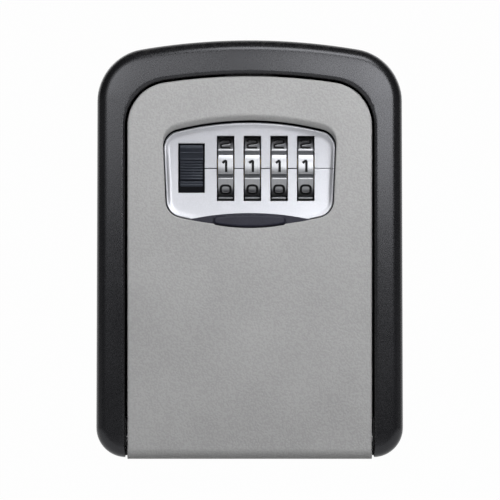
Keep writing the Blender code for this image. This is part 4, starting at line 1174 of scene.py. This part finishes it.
@dataclass
class NumberDials:
    """Four metal dials with ten cushioned pads each, and digits printed on the pads."""

    numbers: ClassVar[tuple[int, ...]] = (1, 2, 3, 4)
    pitch: ClassVar[float] = math.pi / 5
    bore: float = 0.006
    groove_depth: float = 0.0006
    groove_angle: float = math.radians(4.2)
    groove_wall: float = 0.06
    # Share of the groove depth below which the faces take the dark grey of painted shade.
    groove_paint: float = 0.7
    lead: float = math.radians(6.5)
    pad_round: float = 0.0005
    round_steps: int = 6
    pad_steps: int = 14
    side_round: float = 0.00022
    digit_width: float = 0.0028
    digit_height: float = 0.0029
    digit_drop: float = math.radians(3)
    digit_corner: float = 0.0011
    pen: float = 0.00033
    ink_rise: float = 0.000018
    ink_root: float = 0.00012

    @staticmethod
    def axis(number: int) -> Vector:
        """Gives the middle of a dial on its axis."""
        low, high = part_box(f"dial_{number}")
        return (low + high) / 2

    @staticmethod
    def size() -> tuple[float, float]:
        """Gives the radius and half width of a dial."""
        low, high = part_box("dial_1")
        return (high.y - low.y) / 2, (high.x - low.x) / 2

    def pad_line(self) -> list[tuple[float, float]]:
        """Draws the rim of a dial: cushioned pads with grooves between.

        Returns:
            Elevation and radius pairs, once round.
        """
        radius = self.size()[0]
        floor = radius - self.groove_depth
        half = (self.pitch - self.groove_angle) / 2
        turn = self.pad_round / radius
        corner = edge_round(self.pad_round, self.round_steps)
        line = []
        for pad in range(len(DIGITS)):
            middle = self.lead + pad * self.pitch
            line += [(middle - half - share * self.groove_angle, floor) for share in (0.5, self.groove_wall)]
            line += [(middle - half + inset / radius, radius - depth) for inset, depth in reversed(corner)]
            line += [(middle - half + turn + (half - turn) * 2 * i / self.pad_steps, radius)
                     for i in range(1, self.pad_steps)]
            line += [(middle + half - inset / radius, radius - depth) for inset, depth in corner]
            line.append((middle + half + self.groove_wall * self.groove_angle, floor))
        return line

    def ring(self) -> bpy.types.Object:
        """Lofts a dial about the origin, with its axis along X.

        Returns:
            The solid.
        """
        half = self.size()[1]
        line = self.pad_line()
        edge = edge_round(self.side_round, SIDE_EDGE_STEPS)
        steps = [(-half + inset, depth) for inset, depth in reversed(edge)]
        steps += [(-x, drop) for x, drop in reversed(steps)]
        rings = [[self.at(x, turn, radius - drop) for turn, radius in line] for x, drop in steps]
        for x in (half, -half):
            rings.append([self.at(x, turn, self.bore) for turn, _ in line])
        return loft(rings, endless=True)

    @staticmethod
    def at(x: float, turn: float, radius: float) -> Vector:
        """Gives a point of a dial by its place across, its elevation and its radius."""
        return Vector((x, -radius * math.cos(turn), radius * math.sin(turn)))

    def add_digit(self, mesh: bmesh.types.BMesh, digit: int) -> None:
        """Adds the thin ink of one digit to a dial's mesh.

        Args:
            mesh: The mesh of the dial.
            digit: Which digit, on its own pad.
        """
        radius = self.size()[0]
        middle = self.lead - self.digit_drop + (digit - 1) * self.pitch
        levels = (radius + self.ink_rise, radius - self.ink_root)
        for stroke in DIGITS[digit]:
            path = stroke.path(self.digit_width, self.digit_height, self.digit_corner)
            count = len(path)
            rows = []
            for i, point in enumerate(path):
                before = path[i - 1] if stroke.closed or i else path[0]
                after = path[(i + 1) % count] if stroke.closed or i < count - 1 else path[-1]
                first = point - before if point != before else after - point
                second = after - point if after != point else first
                tangent = first / abs(first) + second / abs(second)
                tangent /= abs(tangent)
                bend = max(SHARPEST_BEND, (tangent * (first / abs(first)).conjugate()).real)
                lift = tangent * 1j * self.pen / bend
                ends = [point + lift, point - lift]
                rows.append([mesh.verts.new(self.at(p.real, middle + p.imag / radius, level))
                             for level in levels for p in ends])
            pairs = list(zip(rows, rows[1:])) + ([(rows[-1], rows[0])] if stroke.closed else [])
            faces = []
            for a, b in pairs:
                for i, j in ((0, 1), (1, 3), (3, 2), (2, 0)):
                    faces.append(mesh.faces.new((a[i], a[j], b[j], b[i])))
            if not stroke.closed:
                faces += [mesh.faces.new([row[k] for k in (0, 1, 3, 2)]) for row in (rows[0], rows[-1])]
            for face in faces:
                face.material_index = 1

    def build(self, shop: PaintShop) -> None:
        """Builds the dials from one pattern and sets each on its own axis.

        Args:
            shop: Where they get their finishes.
        """
        pattern = self.ring()
        mesh = bmesh.new()
        mesh.from_mesh(pattern.data)
        bpy.data.objects.remove(pattern)
        # Faces deep in the grooves between the pads take the dark grey: painted shade in the grooves.
        floor = self.size()[0] - self.groove_depth * self.groove_paint
        for face in mesh.faces:
            middle = face.calc_center_median()
            if self.bore + FIT < math.hypot(middle.y, middle.z) < floor and abs(face.normal.x) < 0.5:
                face.material_index = 2
        for digit in range(len(DIGITS)):
            self.add_digit(mesh, digit)
        pattern = solid(mesh, "dial_pattern")
        for number in self.numbers:
            data = pattern.data.copy()
            data.transform(Matrix.Translation(self.axis(number)))
            name = f"number_dial_{number}"
            shop.install(stand(name, data), f"dial_{number}", Coat.dial_chrome, Coat.dial_chrome,
                         Coat.digit_ink, Coat.groove_paint, name=name)
        bpy.data.objects.remove(pattern)


# Thumb release


@dataclass
class ThumbRelease:
    """Ribbed wedge that is pushed down to draw the bolt."""

    x: float = -0.0167
    half: float = 0.0034
    flange_half: float = 0.0050
    flange: tuple[float, float] = (-0.0334, -0.0324)
    top: float = 0.0301
    brim: tuple[complex, ...] = (complex(-0.0347, 0.0), complex(-0.03495, -0.0001),
                                 complex(-0.0351, -0.0004), complex(-0.03505, -0.0009))
    ridge: complex = complex(-0.0360, 0.0278)
    ridge_round: float = 0.0004
    ridge_turns: tuple[float, float] = (0.62 * math.pi, 1.38 * math.pi)
    ridge_steps: int = 8
    slope_top: complex = complex(-0.0352, 0.0262)
    slope_foot: complex = complex(-0.03378, 0.0199)
    ribs: int = 8
    rib_steps: int = 12
    rib_rise: float = 0.00032
    rib_crest: float = 0.8
    rib_fade: float = 0.35
    low_ribs: int = 2
    low_steps: int = 8
    low_rise: float = 0.00016
    low_gap: float = 0.0002
    rib_foot: float = 0.0181
    root: float = 0.0004
    side_round: float = 0.0003
    bore: float = 0.0013
    bore_taper: tuple[float, float] = (0.7, 0.9)

    def front(self) -> list[complex]:
        """Draws the front of the wedge from the side, from the top edge over the ridge down the ribs.

        Returns:
            Y and Z as complex numbers.
        """
        seat = self.flange[0]
        line = [complex(seat, self.top)] + [point + complex(0.0, self.top) for point in self.brim]
        line += arc(self.ridge + self.ridge_round, self.ridge_round, *self.ridge_turns, self.ridge_steps)
        count = self.ribs * self.rib_steps
        for i in range(count + 1):
            share = i / count
            base = self.slope_top + (self.slope_foot - self.slope_top) * share
            wave = 0.5 - 0.5 * math.cos(2 * math.pi * self.ribs * share)
            line.append(base - self.rib_rise * wave ** self.rib_crest * (1 - self.rib_fade * share))
        start = self.slope_foot.imag - self.low_gap
        count = self.low_ribs * self.low_steps
        for i in range(count + 1):
            wave = 0.5 - 0.5 * math.cos(2 * math.pi * self.low_ribs * i / count)
            line.append(complex(seat - self.low_rise * wave, start + (self.rib_foot - start) * i / count))
        return line

    def build(self, shop: PaintShop) -> None:
        """Builds and dresses the thumb release.

        Args:
            shop: Where it gets its finishes.
        """
        seat = self.flange[0]
        back = seat + self.root
        front = self.front()
        edge = edge_round(self.side_round, SIDE_EDGE_STEPS)
        steps = [(self.x - self.half + inset, depth) for inset, depth in reversed(edge)]
        steps += [(2 * self.x - x, depth) for x, depth in reversed(steps)]
        view = front + [complex(back, front[-1].imag), complex(back, front[0].imag)]
        rings = [[Vector((x, min(p.real + drop, back), p.imag)) for p in view] for x, drop in steps]
        low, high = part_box("release_slider")
        plate = slab(self.x - self.flange_half, self.x + self.flange_half, *self.flange, low.z, high.z)
        body = fuse(plate, loft(rings))
        first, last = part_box("slider_screw")
        middle = (first + last) / 2
        tip, waist = self.bore_taper
        bore = [(first.y - FIT / 6, self.bore * tip), (first.y + OVERCUT / 3, self.bore * waist),
                (self.flange[1] + OVERCUT, self.bore)]
        cut(body, turned(bore, middle.x, middle.z, BORE_SIDES))
        # The flange and every face at or behind the seat take the dead black: painted shade in the gap round
        # the release.
        for face in body.data.polygons:
            if face.center.y > seat - FIT / 30:
                face.material_index = 1
        shop.install(body, "release_slider", Coat.inner_plastic, Coat.release_plastic, Coat.recess_black,
                     name="thumb_release")


# Shutter


@dataclass
class Shutter:
    """Thin sliding plate with a finger grip near its upper edge."""

    thickness: float = 0.0009
    corner: float = 0.002
    edge: float = 0.0003
    grip_edge: float = 0.0007

    def build(self, shop: PaintShop) -> None:
        """Builds and dresses the shutter.

        Args:
            shop: Where it gets its finish.
        """
        low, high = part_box("shutter")
        front = high.y - self.thickness
        outline = ArchedOutline(high.x, high.x, high.z, low.z, WINDOW_ARCH, self.corner, self.corner)
        body = prism(outline, front, high.y, self.edge, self.edge)
        grip = prism(grip_outline(), low.y, high.y - self.thickness / 2, self.grip_edge)
        shop.install(fuse(body, grip), "shutter", Coat.shutter_plastic, name="dial_shutter")


# Spring and screws


@dataclass
class LatchSpring:
    """Coil spring under the bolt, with closed end turns."""

    wire: float = 0.0003
    turns: int = 7
    turn_steps: int = 24
    wire_sides: int = 8
    closed: float = 0.9
    end_rise: float = 0.12
    drawn: float = 0.715

    def rise(self, share: float) -> float:
        """Gives the height along the wire, nearly flat in the end turns, from 0 to 1."""
        end = self.closed / self.turns
        climb = min(1.0, max(0.0, (share - end) / (1 - 2 * end)))
        return climb * (1 - self.end_rise) + self.end_rise * share

    def build(self, shop: PaintShop) -> None:
        """Builds, dresses and ties the spring to the slide of the latch.

        Args:
            shop: Where it gets its finish.
        """
        low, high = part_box("latch_spring")
        middle, reach = (low + high) / 2, (high.x - low.x) / 2 - self.wire
        tall = high.z - low.z - 2 * self.wire
        count = self.turns * self.turn_steps
        section = arc(0j, self.wire, 0, 2 * math.pi, self.wire_sides)[:-1]
        rings = []
        for i in range(count + 1):
            turn = 2 * math.pi * i / self.turn_steps
            out = Vector((math.cos(turn), math.sin(turn), 0.0))
            level = low.z + self.wire + tall * self.rise(i / count)
            centre = Vector((middle.x, middle.y, level)) + out * reach
            rings.append([centre + out * p.real + Vector((0.0, 0.0, p.imag)) for p in section])
        coil = shop.install(loft(rings), "latch_spring", Coat.steel, name="latch_coil_spring")
        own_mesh(coil)


@dataclass
class CrossScrews:
    """Pan-head screws with a cross recess, driven from the back of the door."""

    names: tuple[str, ...] = tuple(f"{kind}_screw_{number}" for kind in ("housing", "cover")
                                   for number in (1, 2, 3, 4))
    head: float = 0.0011
    head_side: float = 0.35
    head_flat: float = 0.2
    dome_steps: int = 6
    shank: float = 0.001
    tip: float = 0.0006
    tip_share: float = 0.6
    sides: int = 32
    recess: tuple[float, float, float] = (0.00115, 0.00024, 0.0007)

    def build(self, shop: PaintShop) -> None:
        """Builds and dresses each screw in its own place.

        Args:
            shop: Where they get their finish.
        """
        reach, half, depth = self.recess
        for name in self.names:
            low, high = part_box(name)
            radius, middle = (high.x - low.x) / 2, (low + high) / 2
            seat = high.y - self.head
            steps = [(low.y, self.shank * self.tip_share), (low.y + self.tip, self.shank),
                     (seat, self.shank), (seat, radius), (seat + self.head * self.head_side, radius)]
            for i in range(1, self.dome_steps):
                turn = math.pi / 2 * i / self.dome_steps
                steps.append((seat + self.head * (self.head_side + (1 - self.head_side) * math.sin(turn)),
                              radius * (self.head_flat + (1 - self.head_flat) * math.cos(turn))))
            body = turned(steps, middle.x, middle.z, self.sides)
            for wide, tall in ((reach, half), (half, reach)):
                cut(body, slab(middle.x - wide, middle.x + wide, high.y - depth, high.y + OVERCUT,
                               middle.z - tall, middle.z + tall))
            shop.install(body, name, Coat.steel, name=f"{name}_looks")


# Nodes that keep their own shape


@dataclass
class CarriedParts:
    """Solids of the frame that show as they are, in a better finish."""

    special: dict[str, Coat] = field(default_factory=lambda: {"latch_bolt": Coat.blackened_steel})

    def build(self, shop: PaintShop) -> None:
        """Dresses every node that nothing stands for.

        Args:
            shop: Where they get their finishes.
        """
        for name, node in frame["nodes"].items():
            if node.hide_render:
                continue
            coat = self.special.get(name, Coat[node.data.materials[0].name.split(".")[0]])
            shop.dress(node, coat)
            LOG.info("%s keeps its shape, in %s", name, coat.value.name)


# Studio


@dataclass(frozen=True)
class Lamp:
    """A soft rectangular lamp."""

    name: str
    place: Place
    aim: Place
    size: tuple[float, float]
    watts: float

    def build(self) -> None:
        """Hangs the lamp and turns it towards its aim."""
        data = bpy.data.lights.new(self.name, "AREA")
        data.shape = "RECTANGLE"
        data.size, data.size_y = self.size
        data.energy = self.watts
        lamp = stand(self.name, data)
        lamp.location = self.place
        lamp.rotation_euler = (Vector(self.aim) - Vector(self.place)).to_track_quat("-Z", "Y").to_euler()
        lamp.visible_camera = False


@dataclass
class Studio:
    """White sweep, soft lamps and a camera straight in front."""

    floor: float = -0.35
    wall: float = 1.6
    front: float = -1.3
    height: float = 3.0
    half_width: float = 4.0
    fillet: float = 0.6
    fillet_steps: int = 16
    lens: float = 250.0
    sensor: float = 36.0
    frame_width: float = 0.1428
    centre: tuple[float, float] = (0.0001, -0.0001)
    paper: Colour = (0.86, 0.86, 0.86)
    glow: float = 0.985
    sky: float = 0.08
    lamps: tuple[Lamp, ...] = (
        Lamp("right_front_softbox", (0.10, -0.34, 0.088), (0.0, -0.04, 0.03), (0.16, 0.12), 0.48),
        Lamp("left_front_softbox", (-0.09, -0.36, 0.10), (0.0, -0.04, 0.03), (0.14, 0.12), 0.20),
        Lamp("left_softbox", (-0.32, -0.70, 0.24), (0.0, -0.04, 0.05), (0.35, 0.40), 0.62),
        Lamp("top_softbox", (0.05, -0.24, 0.22), (0.0, -0.04, 0.03), (0.16, 0.10), 0.40),
        Lamp("right_rear_softbox", (0.55, 1.00, 0.50), (0.0, 0.0, 0.0), (0.6, 0.6), 1.6),
        Lamp("left_rear_softbox", (-0.55, 1.00, 0.50), (0.0, 0.0, 0.0), (0.6, 0.6), 1.6),
    )

    def sweep(self) -> None:
        """Builds the floor and backdrop as one curved sheet."""
        profile = [complex(self.front, self.floor)]
        bend = complex(self.wall - self.fillet, self.floor + self.fillet)
        profile += arc(bend, self.fillet, -math.pi / 2, 0, self.fillet_steps)
        profile.append(complex(self.wall, self.height))
        mesh = bmesh.new()
        rows = [[mesh.verts.new((x, p.real, p.imag)) for p in profile]
                for x in (-self.half_width, self.half_width)]
        for i in range(len(profile) - 1):
            mesh.faces.new((rows[0][i], rows[1][i], rows[1][i + 1], rows[0][i + 1]))
        sheet = solid(mesh, "paper_sweep")
        sheet.data.shade_smooth()
        sheet.data.materials.append(self.paper_material())

    def paper_material(self) -> bpy.types.Material:
        """Makes white paper that shows white to the camera and keeps the shadow.

        Returns:
            The material.
        """
        material = bpy.data.materials.new("white_paper")
        material.use_nodes = True
        bench = NodeBench(material.node_tree)
        material.node_tree.nodes.remove(material.node_tree.nodes["Principled BSDF"])
        matt = bench.add("ShaderNodeBsdfDiffuse", {"Color": (*self.paper, 1.0)})
        glow = bench.add("ShaderNodeEmission", {"Color": (1.0, 1.0, 1.0, 1.0), "Strength": 1.0})
        share = bench.maths("MULTIPLY", self.seen(bench), self.glow)
        both = bench.add("ShaderNodeMixShader", {0: share, 1: matt.outputs[0], 2: glow.outputs[0]})
        material.node_tree.links.new(both.outputs[0], material.node_tree.nodes["Material Output"].inputs[0])
        return material

    @staticmethod
    def seen(bench: NodeBench) -> bpy.types.NodeSocket:
        """Tells a ray that looks, mirrors or passes through from one that lights.

        Args:
            bench: Tree of the paper's material.

        Returns:
            1 for a ray that shows the background.
        """
        path = bench.add("ShaderNodeLightPath").outputs
        seen = bench.maths("MAXIMUM", path["Is Camera Ray"], path["Is Glossy Ray"])
        return bench.maths("MAXIMUM", seen, path["Is Transmission Ray"])

    def world(self) -> None:
        """Lights the scene with a weak even sky that the camera sees as white, past the paper."""
        world = bpy.data.worlds.new("studio")
        bpy.context.scene.world = world
        world.use_nodes = True
        bench = NodeBench(world.node_tree)
        sky = world.node_tree.nodes["Background"]
        sky.inputs["Color"].default_value = (1.0, 1.0, 1.0, 1.0)
        shown = bench.add("ShaderNodeLightPath").outputs["Is Camera Ray"]
        bench.feed(sky.inputs["Strength"], bench.spread(shown, 0.0, 1.0, self.sky, 1.0))

    def camera(self) -> None:
        """Sets the camera straight in front of the box."""
        data = bpy.data.cameras.new("camera")
        data.lens = self.lens
        data.sensor_width = self.sensor
        camera = stand("camera", data)
        distance = self.frame_width * self.lens / self.sensor
        camera.location = (self.centre[0], CAD_BOX[0][1] - distance, self.centre[1])
        camera.rotation_euler = (math.pi / 2, 0.0, 0.0)
        bpy.context.scene.camera = camera

    def build(self) -> None:
        """Sets up the paper, the lamps, the sky and the camera."""
        self.sweep()
        for lamp in self.lamps:
            lamp.build()
        self.world()
        self.camera()
        bpy.context.scene.view_settings.view_transform = "Standard"
        LOG.info("studio is lit by %d lamps", len(self.lamps))


def main() -> None:
    """Builds the pieces in order, dresses the frame and sets up the studio."""
    logging.basicConfig(level=logging.INFO, format="%(name)s: %(message)s")
    shop = PaintShop()
    for piece in (Surround(), Door(), Fascia(), NumberDials(), ThumbRelease(), Shutter(), LatchSpring(),
                  CrossScrews(), CarriedParts()):
        piece.build(shop)
    Studio().build()


if __name__ == "__main__":
    main()
